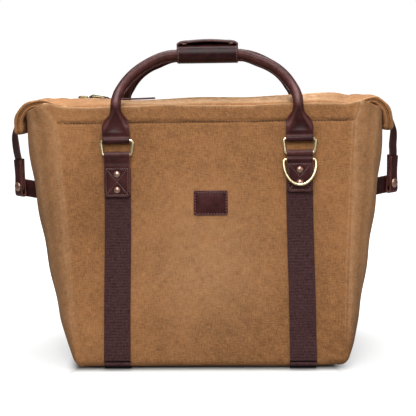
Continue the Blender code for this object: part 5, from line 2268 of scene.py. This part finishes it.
    def build_half(self, shop: Workshop, face: Face, side: Side) -> None:
        """One half of one side: its canvas strip, its tape and its row of teeth.

        Args:
            shop: Workshop that makes the pieces.
            face: Which face.
            side: Which end.
        """
        inner, outer = self.split, side.value * self.end_reach
        strip, thread = self.strip(inner, outer)
        end = side.value * self.chain_end
        tx = np.linspace(inner, end, 60)[:, None] + CENTRE_X
        ty = -np.array([self.tape_half, self.tape_half - 0.0003, 0.009, 0.005, 0.0013, 0.0010])[None]
        middle = np.stack(np.broadcast_arrays(tx, ty, self.chain_z), -1)
        tape = shell(middle, self.tape, rim=0.0004, open_start=True)
        phase = 0.0 if face is Face.FRONT else 0.5
        teeth = self.teeth(min(inner, end), max(inner, end), phase)
        flap = (face.label + "_zip_flap", side.label + "_zip_end")
        chain = (face.label + "_zip_chain", side.label + "_zip_chain")
        for kind, surface, look, nodes in (
            ("strip", strip, Look.CANVAS, flap),
            ("stitching", thread, Look.CANVAS_THREAD, ()),
            ("tape", tape, Look.TAPE, chain),
            ("teeth", teeth, Look.ZIP_CHAIN, chain),
        ):
            name = f"{face.label}_{side.label}_zip_{kind}"
            piece = shop.piece(name, surface.mirrored(face), look, *nodes)
            self.hold(piece)

    def teeth(self, start: float, end: float, phase: float) -> Surface:
        """A row of teeth: a waisted block, wider at its head, repeated by broadcasting.

        Args:
            start: Where the row starts.
            end: Where it ends.
            phase: Shift along the row, in pitches.

        Returns:
            All the teeth.
        """
        first = math.ceil(start / self.pitch - phase)
        last = math.floor(end / self.pitch - phase)
        x = (np.arange(first, last + 1) + phase) * self.pitch + CENTRE_X
        half_x, reach, tall = self.tooth[0] / 2, self.tooth[1], self.tooth[2] / 2
        y = np.array([-reach, -reach, -0.0014, -0.0002, 0.0007, 0.0007])
        size = np.array([0.0, 1.0, 0.8, 1.0, 0.75, 0.0])
        half = np.array([(-1.0, -0.7), (-0.7, -1.0), (0.7, -1.0), (1.0, -0.7)])
        corner = np.concatenate([half, -half])[None, None]
        points = np.broadcast_arrays(
            x[:, None, None] + corner[..., 0] * half_x * size[None, :, None],
            y[None, :, None],
            self.chain_z + corner[..., 1] * tall * size[None, :, None],
        )
        return repeated(np.stack(points, -1))

    def build_slider(self, shop: Workshop) -> None:
        """The slider: a lid bent down at its edges, and a bridge over it along a smooth arch.

        Args:
            shop: Workshop that makes the pieces.
        """
        lid, x0 = self.lid_z, self.slider_at
        share = lines(20, self.slider_length, 0.0007)[:, None]
        x = (share - 0.5) * self.slider_length
        w = self.slider_half - 0.0008 - 0.0011 * step(-x, -0.004, 0.012) + 0.0002 * np.cos(x * 300)
        t = np.linspace(-1.0, 1.0, 27)[None]
        drop = 0.0026 * np.clip((np.abs(t) - 0.72) / 0.28, 0.0, 1.0) ** 1.5
        y = w * np.clip(t / 0.86, -1.0, 1.0) + 0.0004 * t
        z = lid - 0.0007 - drop - 0.0004 * (t * t) + 0 * x
        body = shell(np.stack([x0 + x + 0 * t, y + 0 * x, z], -1), 0.0014, rim=0.0007)
        arch = eased_path(self.bridge, 40)
        px, pz = x0 + arch[:, :1], lid + arch[:, 1:]
        a = np.linspace(-1.0, 1.0, 15)[None]
        fall = np.clip((np.abs(a) - 0.5) / 0.5, 0.0, 1.0) ** 1.6
        middle = np.stack([px + 0 * a, 0.0032 * a + 0 * px, pz - (pz - lid + 0.0006) * fall], -1)
        slider = joined([body, shell(middle, 0.0012, rim=0.0006)])
        shop.ride("zip_slider_body", slider, Look.ANTIQUE, "slider_set", "zip_slider")

    def build_pull(self, shop: Workshop) -> None:
        """The pull: a tapering blade, a leather tab folded round its end, and the tab's stitching.

        Args:
            shop: Workshop that makes the pieces.
        """
        px, pz = self.slider_at + self.pivot[0], self.lid_z + self.pivot[1]
        near = self.pull_length
        share = lines(40, near, 0.0008)[:, None]
        a = span(10, self.pull_half, 0.0008)[None]
        half = self.pull_half - 0.0012 * step(share, 0.1, 0.6) + 0.0006 * bump(share, 0.92, 0.08)
        x = px + 0.0035 + share * (near - 0.0055)
        z = -0.0010 + 0.0034 * step(share, 0.0, 0.3) - 0.0036 * share**1.3
        middle = np.stack([x + 0 * a, a * half * 0.9, pz + z + a * half * 0.42], -1)
        blade = shell(middle, 0.0028, rim=0.0009)
        shop.ride("zip_pull_blade", blade, Look.ANTIQUE, "pull_set", "zip_pull")
        far = near + self.tab_length + 0.0015
        upper = [(far + x, z) for x, z in self.tab_end]
        path, run = rim_spaced(
            eased_path(upper + [(near + x, z) for x, z in self.tab_fold], 120), 110, 0.0006
        )
        a = span(14, self.tab_half, 0.0006)
        half = self.tab_half - 0.0012 * (1.0 - step(run, 0.0, 0.004))
        half = half - 0.0010 * bump(path[:, 0], near, 0.006)
        y = a[None] * half[:, None]
        middle = np.stack([px + path[:, :1] + 0 * y, y, pz + path[:, 1:] + 0 * y], -1)
        wear = 0.6 * bump(1.0 - np.abs(a), 0.0, 0.12)[None] + 0 * y
        tab = shell(middle, self.pull_leather, wear=wear)
        strip = shop.ride("zip_pull_leather", tab, Look.LEATHER, "pull_set", "zip_pull_tab")
        sx = np.linspace(near + 0.010, far - 0.003, 60)
        top = np.interp(sx, path[:60, 0][::-1], path[:60, 1][::-1]) + self.pull_leather / 2
        rows = []
        for sign in (-1.0, 1.0):
            sy = np.full(60, sign * (self.tab_half - 0.0014))
            seam = np.stack([px + sx, sy, pz + top], -1)
            rows.append(stitches(seam, np.array([0.0, 0.0, 1.0]), self.pull_sewing))
        thread = shop.ride("zip_pull_stitching", joined(rows), Look.LEATHER_THREAD, "pull_set")
        for soft in (strip, thread):
            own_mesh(soft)


@dataclass
class EndFittings:
    """The ears that fold over the ends, the end straps, their keepers and the side tabs."""

    form: BodyForm
    ear_half: float = 0.027
    ear_profile: tuple = (
        (0.0, 0.0026), (0.20, 0.0042), (0.40, 0.0088), (0.53, 0.0114), (0.68, 0.0130), (1.0, 0.0142)
    )
    ear_path: tuple = (
        (0.1900, 0.3770),
        (0.2050, 0.3794),
        (0.2200, 0.3799),
        (0.2360, 0.3794),
        (0.2530, 0.3764),
        (0.2655, 0.3680),
        (0.2720, 0.3555),
        (0.2737, 0.3430),
        (0.2725, 0.3320),
    )
    draw: dict = field(default_factory=lambda: {Side.LEFT: 0.0, Side.RIGHT: 0.0030})
    strap_half: float = 0.009
    strap_leather: float = 0.0022
    strap_turn: float = math.radians(47.0)
    strap_path: tuple = (
        (0.2760, 0.000, 0.3640, 0.0),
        (0.2774, 0.000, 0.3590, 0.05),
        (0.2816, 0.000, 0.3450, 0.40),
        (0.2842, 0.002, 0.3300, 0.85),
        (0.2846, 0.006, 0.3150, 1.0),
        (0.2846, 0.012, 0.3000, 1.0),
        (0.2836, 0.016, 0.2880, 1.0),
        (0.2836, 0.016, 0.2640, 1.0),
        (0.2836, 0.016, 0.2460, 1.0),
    )
    keeper: tuple[float, float] = (0.2833, 0.016)
    keeper_top: float = 0.2945
    keeper_foot: float = 0.2375
    keeper_half: float = 0.0088
    keeper_leather: float = 0.0026
    keeper_gap: float = 0.0034
    cap_z: float = 0.2515
    cap_radius: float = 0.0073
    cap_rise: float = 0.0029
    socket: tuple = (
        (0.0, 0.0),
        (0.0042, 0.0),
        (0.0045, 0.0006),
        (0.0040, 0.0012),
        (0.0022, 0.0010),
        (0.0, 0.0009),
    )
    tab_z: float = 0.2490
    tab_half: float = 0.0134
    tab_fall: float = 0.0030
    tab_leather: float = 0.0026
    tab_root: tuple = ((0.0280, 0.0), (0.0200, 0.0), (0.0130, 0.0014))
    tab_run: tuple = (-0.0040, 0.0010, 0.0060)
    tab_offset: float = 0.0064
    sewing: Sewing = Sewing(0.0030, 0.00036)

    def build(self, shop: Workshop) -> None:
        """Make both ends' fittings.

        Args:
            shop: Workshop that makes the pieces.
        """
        for side in Side:
            self.build_ear(shop, side)
            self.build_strap(shop, side)
            self.build_keeper(shop, side)
            self.build_tab(shop, side)

    def build_ear(self, shop: Workshop, side: Side) -> None:
        """One ear: a band whose rolled edges show three folded layers, carried down over the end.

        The section is a flat band with crowned top; each side has two grooves, bells in t, between three
        layers.

        Args:
            shop: Workshop that makes the pieces.
            side: Which end.
        """
        line = np.array(self.ear_path)
        line[:, 0] -= self.draw[side] * step(line[:, 0], 0.225, 0.262)
        centre = CENTRE_X * np.clip(1.0 - (line[:, 0] - 0.2125) / 0.047, 0.0, 1.0)
        line = np.stack([side.value * line[:, 0] + centre, line[:, 1]], -1)
        path, run = rim_spaced(eased_path(line, 70), 80, 0.006)
        total = run[-1]
        tangent = unit(np.gradient(path, axis=0))
        normal = np.stack([-tangent[:, 1], tangent[:, 0]], -1) * side.value
        thick = np.interp(run / total, *np.array(self.ear_profile).T)
        path = path - normal * (thick / 2 - 0.0052)[:, None]
        t = np.linspace(1.0, -1.0, 41)
        layers = bump(t, 0.16, 0.09) + 0.8 * bump(t, -0.22, 0.09)
        scallop = self.ear_half - 0.0024 * layers - 0.0026 * t**8
        across = np.linspace(self.ear_half - 0.003, -self.ear_half + 0.003, 24)[1:-1]
        crown = 1.0 + 0.10 * np.cos(across / self.ear_half * np.pi / 2)
        section = np.concatenate(
            [
                np.stack([scallop, t], -1),
                np.stack([across, -crown], -1),
                np.stack([-scallop[::-1], t[::-1]], -1),
                np.stack([-across, crown], -1),
            ]
        )
        grow = np.sqrt(1.0 - (1.0 - np.minimum(np.minimum(run, total - run) / 0.006, 1.0)) ** 2)
        wide = 1.0 - 0.12 * step(run, total * 0.55, total)
        y = section[None, :, 0] * (0.45 + 0.55 * grow)[:, None] * wide[:, None]
        droop = 0.0116 * (np.abs(y) / self.ear_half) ** 1.05 * (1.0 - step(run, 0.016, 0.058))[:, None]
        waves = 0.0005 * np.sin(run * 260.0 + 1.0)[:, None] * np.abs(section[None, :, 1])
        n = section[None, :, 1] * (thick / 2 * grow)[:, None] - droop + waves
        points = np.stack([path[:, :1] + normal[:, :1] * n, y, path[:, 1:] + normal[:, 1:] * n], -1)
        points[0] = points[0].mean(0)
        points[-1] = points[-1].mean(0)
        edge = 0.5 * bump(t, -0.32, 0.10) + 0.35 * bump(t, 0.9, 0.15)
        ridge = np.concatenate([edge, np.zeros(len(across)), edge[::-1], np.full(len(across), 0.12)])
        flat = np.stack(np.broadcast_arrays(run[:, None], along(section * [1.0, 0.006])[None]), -1)
        surface = rolled(points, flat, ridge[None] + 0 * run[:, None])
        label = side.label
        piece = shop.piece(label + "_canvas_ear", surface, Look.CANVAS, label + "_ear")
        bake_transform(piece)

    def axes(self, side: Side) -> tuple[np.ndarray, np.ndarray]:
        """A keeper's width and outward directions."""
        out = np.array([side.value * math.cos(self.strap_turn), -math.sin(self.strap_turn), 0.0])
        return np.cross(out, [0.0, 0.0, 1.0]), out

    def build_strap(self, shop: Workshop, side: Side) -> None:
        """One end strap: a leather strip that twists on its way from the ear into its keeper.

        Args:
            shop: Workshop that makes the pieces.
            side: Which end.
        """
        path = eased_path(np.array(self.strap_path), 90)
        total = along(path[:, :3])[-1]
        at = lines(90, total, self.strap_leather / 2) * total
        path = sampled(path, along(path[:, :3]), at)
        turn = self.strap_turn * path[:, 3]
        across = np.stack([np.sin(turn), side.value * np.cos(turn), 0 * turn], -1)
        reach = path[:, 0] - self.draw[side] * step(path[:, 2], 0.290, 0.312)
        centre = np.stack([side.value * reach, path[:, 1], path[:, 2]], -1)
        a = span(16, self.strap_half, self.strap_leather / 2)
        middle = centre[:, None] + across[:, None] * (a * self.strap_half)[None, :, None]
        edge = (1.0 - np.abs(a)) * self.strap_half
        wear = np.broadcast_to(0.7 * bump(edge, 0.0, 0.0012), middle.shape[:2])
        label = side.label
        surface = shell(middle, self.strap_leather, wear=wear)
        piece = shop.piece(label + "_end_strap_leather", surface, Look.LEATHER, label + "_end_strap")
        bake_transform(piece)

    def build_keeper(self, shop: Workshop, side: Side) -> None:
        """One keeper: a strip folded round the strap's end, with a snap through its outer leaf.

        Args:
            shop: Workshop that makes the pieces.
            side: Which end.
        """
        width, out = self.axes(side)
        centre = np.array([side.value * self.keeper[0], self.keeper[1], 0.0])
        gap, foot, top = self.keeper_gap, self.keeper_foot, self.keeper_top
        behind = [(-gap, top), (-gap + 0.0003, 0.272), (-gap, 0.255), (-gap - 0.0004, foot + 0.006)]
        under = [(-0.0022, foot + 0.0004), (0.0022, foot + 0.0004)]
        leaf = [(gap + 0.0004, foot + 0.006), (gap, 0.255), (gap - 0.0006, 0.270)]
        line = eased_path(behind + under + leaf + [(gap + 0.0004, top - 0.002)], 160)
        path, _ = rim_spaced(line, 120, self.keeper_leather / 2)
        a = span(18, self.keeper_half, self.keeper_leather / 2)
        half = self.keeper_half + 0.0010 * bump(path[:, 1], foot, 0.010)
        bow = 0.0005 * (a**2)[None] * np.sign(path[:, :1])
        spot = centre + out * (path[:, :1, None] - bow[..., None])
        spot = spot + width * (a[None] * half[:, None])[..., None]
        spot[..., 2] = path[:, 1:]
        edge = half[:, None] * (1.0 - np.abs(a))[None]
        wear = 0.75 * bump(edge, 0.0, 0.0013) + 0.4 * bump(path[:, 1:], foot, 0.003)
        label = side.label
        surface = shell(spot, self.keeper_leather, wear=np.clip(wear, 0, 1))
        nodes = label + "_keeper", label + "_keeper_leaf"
        piece = shop.piece(label + "_folded_keeper", surface, Look.LEATHER, *nodes)
        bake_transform(piece)
        z = np.linspace(foot + 0.012, top - 0.005, 40)
        front = centre + out * (gap + self.keeper_leather / 2 - 0.0009)
        rows = []
        for sign in (-1.0, 1.0):
            seam = front + width * sign * (self.keeper_half - 0.0024)
            rows.append(stitches(seam + np.stack([0 * z, 0 * z, z], -1), out, self.sewing))
        shop.ride(label + "_keeper_stitching", joined(rows), Look.LEATHER_THREAD, label + "_leaf_set")
        self.build_snap(shop, side, centre + [0.0, 0.0, self.cap_z])

    def build_snap(self, shop: Workshop, side: Side, centre: np.ndarray) -> None:
        """The snap of one keeper: a domed cap with its shank on the leaf, and a socket behind.

        Args:
            shop: Workshop that makes the pieces.
            side: Which end.
            centre: Middle of the keeper at the snap's height.
        """
        label, out = side.label, self.axes(side)[1]
        face, radius = self.keeper_leather / 2, self.cap_radius
        shank = [(0.0, -face), (0.0015, -face), (0.0015, face)]
        rim = [(radius - 0.0004, face), (radius, face + 0.0004), (radius - 0.0002, face + 0.0009)]
        crown = dome(radius * 0.9, face + 0.0010, self.cap_rise - 0.0010)
        cap = turned_form(np.concatenate([shank, rim, crown]), centre + out * self.keeper_gap, out)
        shop.ride(label + "_cap", cap, Look.COPPER, label + "_leaf_set", label + "_snap_cap")
        back = centre - out * (self.keeper_gap + face - 0.0003)
        socket = turned_form(self.socket, back, -out)
        shop.ride(label + "_snap_back", socket, Look.COPPER, "bag")

    def build_tab(self, shop: Workshop, side: Side) -> None:
        """One side tab: a leather strip from the end's canvas to the back of the keeper.

        Args:
            shop: Workshop that makes the pieces.
            side: Which end.
        """
        form = self.form
        width, out = self.axes(side)
        width = width * np.sign(width[1])
        height = np.array([self.tab_z])
        seam, reach = form.seam(side, height)[0], form.reach(side, height)[0]
        half = form.half_depth(height)[0]
        root = np.array(self.tab_root)
        bow = np.sqrt(1.0 - (root[:, 0] / half) ** 2)
        x = side.value * (seam + (reach - seam) * bow + self.tab_leather / 2 + 0.0006 + root[:, 1]) + CENTRE_X
        first = np.stack([x, root[:, 0]], -1)
        centre = np.array([side.value * self.keeper[0], self.keeper[1]]) - out[:2] * self.tab_offset
        rest = centre + width[:2] * np.array(self.tab_run)[:, None]
        path = eased_path(np.concatenate([first, rest]), 80)
        path, _ = rim_spaced(path, 70, self.tab_leather / 2)
        z = self.tab_z + span(18, self.tab_half, self.tab_leather / 2) * self.tab_half
        fall = self.tab_fall * (1.0 - step(np.linspace(0.0, 1.0, len(path)), 0.2, 0.8))
        middle = np.stack([path[:, :1] + 0 * z, path[:, 1:] + 0 * z, z - fall[:, None]], -1)
        wear = 0.6 * bump(self.tab_half - np.abs(z - self.tab_z), 0.0, 0.0012)
        label = side.label
        surface = shell(middle, self.tab_leather, wear=np.broadcast_to(wear, middle.shape[:2]))
        shop.ride(label + "_tie_tab", surface, Look.LEATHER, "bag", label + "_side_tab")


@dataclass
class Patch:
    """The blank leather patch sewn to the front."""

    form: BodyForm
    x: float = 0.003
    z: float = 0.235
    half_width: float = 0.0245
    half_height: float = 0.0178
    leather: float = 0.0018
    corner: float = 0.003
    sewn_inset: float = 0.0024
    sewing: Sewing = Sewing(0.0042, 0.00066, 0.56)

    def build(self, shop: Workshop) -> None:
        """Make the patch, pressed in along its sewn border, and its stitching.

        Args:
            shop: Workshop that makes the pieces.
        """
        form = self.form
        u = span(40, self.half_width, self.leather / 2)
        v = span(30, self.half_height, self.leather / 2)
        near = np.abs(v) * self.half_height - self.half_height + self.corner
        gone = 1.0 - np.sqrt(1.0 - np.clip(near / self.corner, 0.0, 1.0) ** 2)
        gone = self.corner * gone
        x = self.x + u[:, None] * (self.half_width - gone)[None]
        s = self.z / math.cos(form.tilt) + v[None] * self.half_height + 0 * x
        upright = self.half_height * (1.0 - np.abs(v))[None]
        inset = np.minimum(self.half_width - np.abs(x - self.x), upright)
        pressed = -0.00045 * bump(inset, self.sewn_inset, 0.0007) + 0.0004 * step(inset, 0.003, 0.010)
        n = form.relief(x, s * math.cos(form.tilt)) + 0.0001 + self.leather / 2
        middle = form.face(x, s, n + pressed)
        wear = 0.8 * bump(inset, 0.0, 0.0010)
        patch = shell(middle, self.leather, wear=wear)
        shop.ride("front_leather_patch", patch, Look.LEATHER, "bag", "front_patch")
        w, h = self.half_width - self.sewn_inset, self.half_height - self.sewn_inset
        box = np.array([(-w, -h), (w, -h), (w, h), (-w, h), (-w, -h)])
        line = resample(box, np.linspace(0.0, along(box)[-1], 200))
        px, ps = self.x + line[:, 0], self.z / math.cos(form.tilt) + line[:, 1]
        level = form.relief(px, ps * math.cos(form.tilt)) + self.leather - 0.0001
        rows = stitches(form.face(px, ps, level), form.out, self.sewing)
        shop.ride("front_patch_stitching", rows, Look.LEATHER_THREAD, "bag")


@dataclass
class Studio:
    """Camera, floor and soft light."""

    eye: tuple[float, float, float] = (0.0359, -1.2051, 0.4078)
    yaw: float = math.radians(1.5)
    pitch: float = math.radians(8.97)
    roll: float = math.radians(-0.80)
    focal_pixels: float = 807.0
    image: int = 416
    sensor: float = 36.0
    sky: float = 0.36
    mirrored: float = 0.22
    floor_half: float = 30.0
    floor_bounce: Colour = (0.28, 0.28, 0.27)
    floor_contact: Colour = (0.40, 0.39, 0.37)
    floor_pale: Colour = (0.76, 0.76, 0.76)
    floor_end: Colour = (0.34, 0.34, 0.34)
    shadow_half: tuple[float, float] = (0.22, 0.09)
    shadow_fade: float = 0.13
    contact_half: float = 0.180
    contact_depth: float = 0.010
    contact_fade: float = 0.022
    end_half: float = 0.184
    end_fade: float = 0.020
    end_glow: float = 0.58
    lights: tuple = (
        ("top_softbox", (0.0, 0.15, 1.8), (0.0, 0.0, 0.2), 1.2, 42.0),
        ("front_softbox", (-0.08, -1.02, 1.18), (0.0, 0.0, 0.26), 0.78, 14.6),
        ("right_softbox", (1.9, -1.5, 1.0), (0.0, 0.0, 0.2), 0.8, 8.0),
    )

    def build(self) -> None:
        """Set up the camera, the floor, the lights and the sky."""
        bpy.context.scene.view_settings.view_transform = "Standard"
        self.camera()
        self.floor()
        for light in self.lights:
            self.light(*light)
        self.sky_light()

    def camera(self) -> None:
        """Stand the camera where the photo was taken, by its yaw, pitch and roll."""
        scene = bpy.context.scene
        lens = bpy.data.cameras.new("photo_camera")
        lens.sensor_width = self.sensor
        lens.lens = self.focal_pixels / self.image * self.sensor
        lens.clip_end = 50.0
        camera = bpy.data.objects.new("photo_camera", lens)
        scene.collection.objects.link(camera)
        scene.camera = camera
        right = np.array([math.cos(self.yaw), math.sin(self.yaw), 0.0])
        level = np.array([-math.sin(self.yaw), math.cos(self.yaw), 0.0]) * math.cos(self.pitch)
        ahead = level + np.array([0.0, 0.0, -math.sin(self.pitch)])
        up = np.cross(right, ahead)
        c, s = math.cos(self.roll), math.sin(self.roll)
        right, up = right * c + up * s, up * c - right * s
        matrix = Matrix(np.stack([right, up, -ahead], -1).tolist()).to_4x4()
        matrix.translation = self.eye
        camera.matrix_world = matrix

    def sky_light(self) -> None:
        """A white sky to the camera that gives only a little light."""
        world = bpy.data.worlds.new("pale_sky")
        world.use_nodes = True
        g = Graph(world.node_tree)
        path = g.add("LightPath").outputs
        seen = path["Is Camera Ray"]
        less = g.math("MULTIPLY", path["Is Glossy Ray"], self.sky - self.mirrored)
        light = g.math("MAXIMUM", seen, g.math("SUBTRACT", self.sky, less))
        g.fill(world.node_tree.nodes["Background"], {0: (1.0, 1.0, 1.0, 1.0), 1: light})
        bpy.context.scene.world = world

    def floor(self) -> None:
        """A wide floor, white to the camera but for a soft shadow under and beside the bag.

        To the camera it glows white away from the bag. Near the bag it shows the real shadow on a pale
        colour; round the bag's footprint its colour is darker, a painted contact shadow, and beside the ends
        it is darker under a set glow, painted light that makes the real shadow there fainter. To other rays
        it is grey, so that it throws only a little light up.
        """
        mesh = bpy.data.meshes.new("floor")
        size = self.floor_half
        corners = [(-size, -size, 0.0), (size, -size, 0.0), (size, size, 0.0), (-size, size, 0.0)]
        mesh.from_pydata(corners, [], [(0, 1, 2, 3)])
        floor = bpy.data.objects.new("floor", mesh)
        bpy.context.scene.collection.objects.link(floor)
        material, g, shader = shader_of("floor")
        seen = g.add("LightPath").outputs["Is Camera Ray"]
        parts = g.add("SeparateXYZ", {0: g.place()}).outputs
        across, deep = (g.math("ABSOLUTE", parts[k]) for k in (0, 1))
        beside = [
            g.math("MAXIMUM", g.math("SUBTRACT", part, half), 0.0)
            for part, half in zip((across, deep), self.shadow_half)
        ]
        # Painted contact shadow: a darker colour on a band round the bag's footprint, fading out over
        # contact_fade.
        close = g.math("SUBTRACT", across, self.contact_half)
        close = g.math("MAXIMUM", close, g.math("SUBTRACT", beside[1], self.contact_depth))
        pale = g.mix(g.spread(close, 0.0, self.contact_fade), self.floor_contact, self.floor_pale)
        # Beside the ends: a darker colour under a set glow, painted light that makes the real shadow there
        # fainter.
        end = g.spread(g.math("SUBTRACT", across, self.end_half), 0.0, self.end_fade)
        pale = g.mix(end, pale, self.floor_end)
        away = g.spread(g.math("MAXIMUM", *beside), 0.0, self.shadow_fade)
        glow = g.math("MAXIMUM", away, g.math("MULTIPLY", end, self.end_glow))
        g.fill(
            shader,
            {
                "Base Color": g.mix(seen, self.floor_bounce, pale),
                "Emission Strength": g.math("MULTIPLY", seen, glow),
                "Emission Color": (1.0, 1.0, 1.0, 1.0),
                "Roughness": 0.9,
            },
        )
        mesh.materials.append(material)

    def light(self, name: str, place: tuple, target: tuple, size: float, power: float) -> None:
        """Add a square soft light that faces a target.

        Args:
            name: Name of the light.
            place: Where it stands.
            target: What it faces.
            size: Length of its side.
            power: Power in watts.
        """
        data = bpy.data.lights.new(name, "AREA")
        data.size = size
        data.energy = power
        lamp = bpy.data.objects.new(name, data)
        bpy.context.scene.collection.objects.link(lamp)
        back = unit(np.array(place) - np.array(target))
        right = unit(np.cross([0.02, 1.0, 0.01], back))
        matrix = Matrix(np.stack([right, np.cross(back, right), back], -1).tolist()).to_4x4()
        matrix.translation = place
        lamp.matrix_world = matrix


def main() -> None:
    """Build every class in order."""
    logging.basicConfig(level=logging.INFO, format="%(name)s %(message)s")
    shop = Workshop()
    form = BodyForm()
    straps = StrapSet(form)
    Studio().build()
    handles = HandlePair(form, straps)
    for assembly in (CanvasBody(form), straps, handles, ZipTop(), EndFittings(form), Patch(form)):
        assembly.build(shop)
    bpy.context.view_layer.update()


if __name__ == "__main__":
    main()
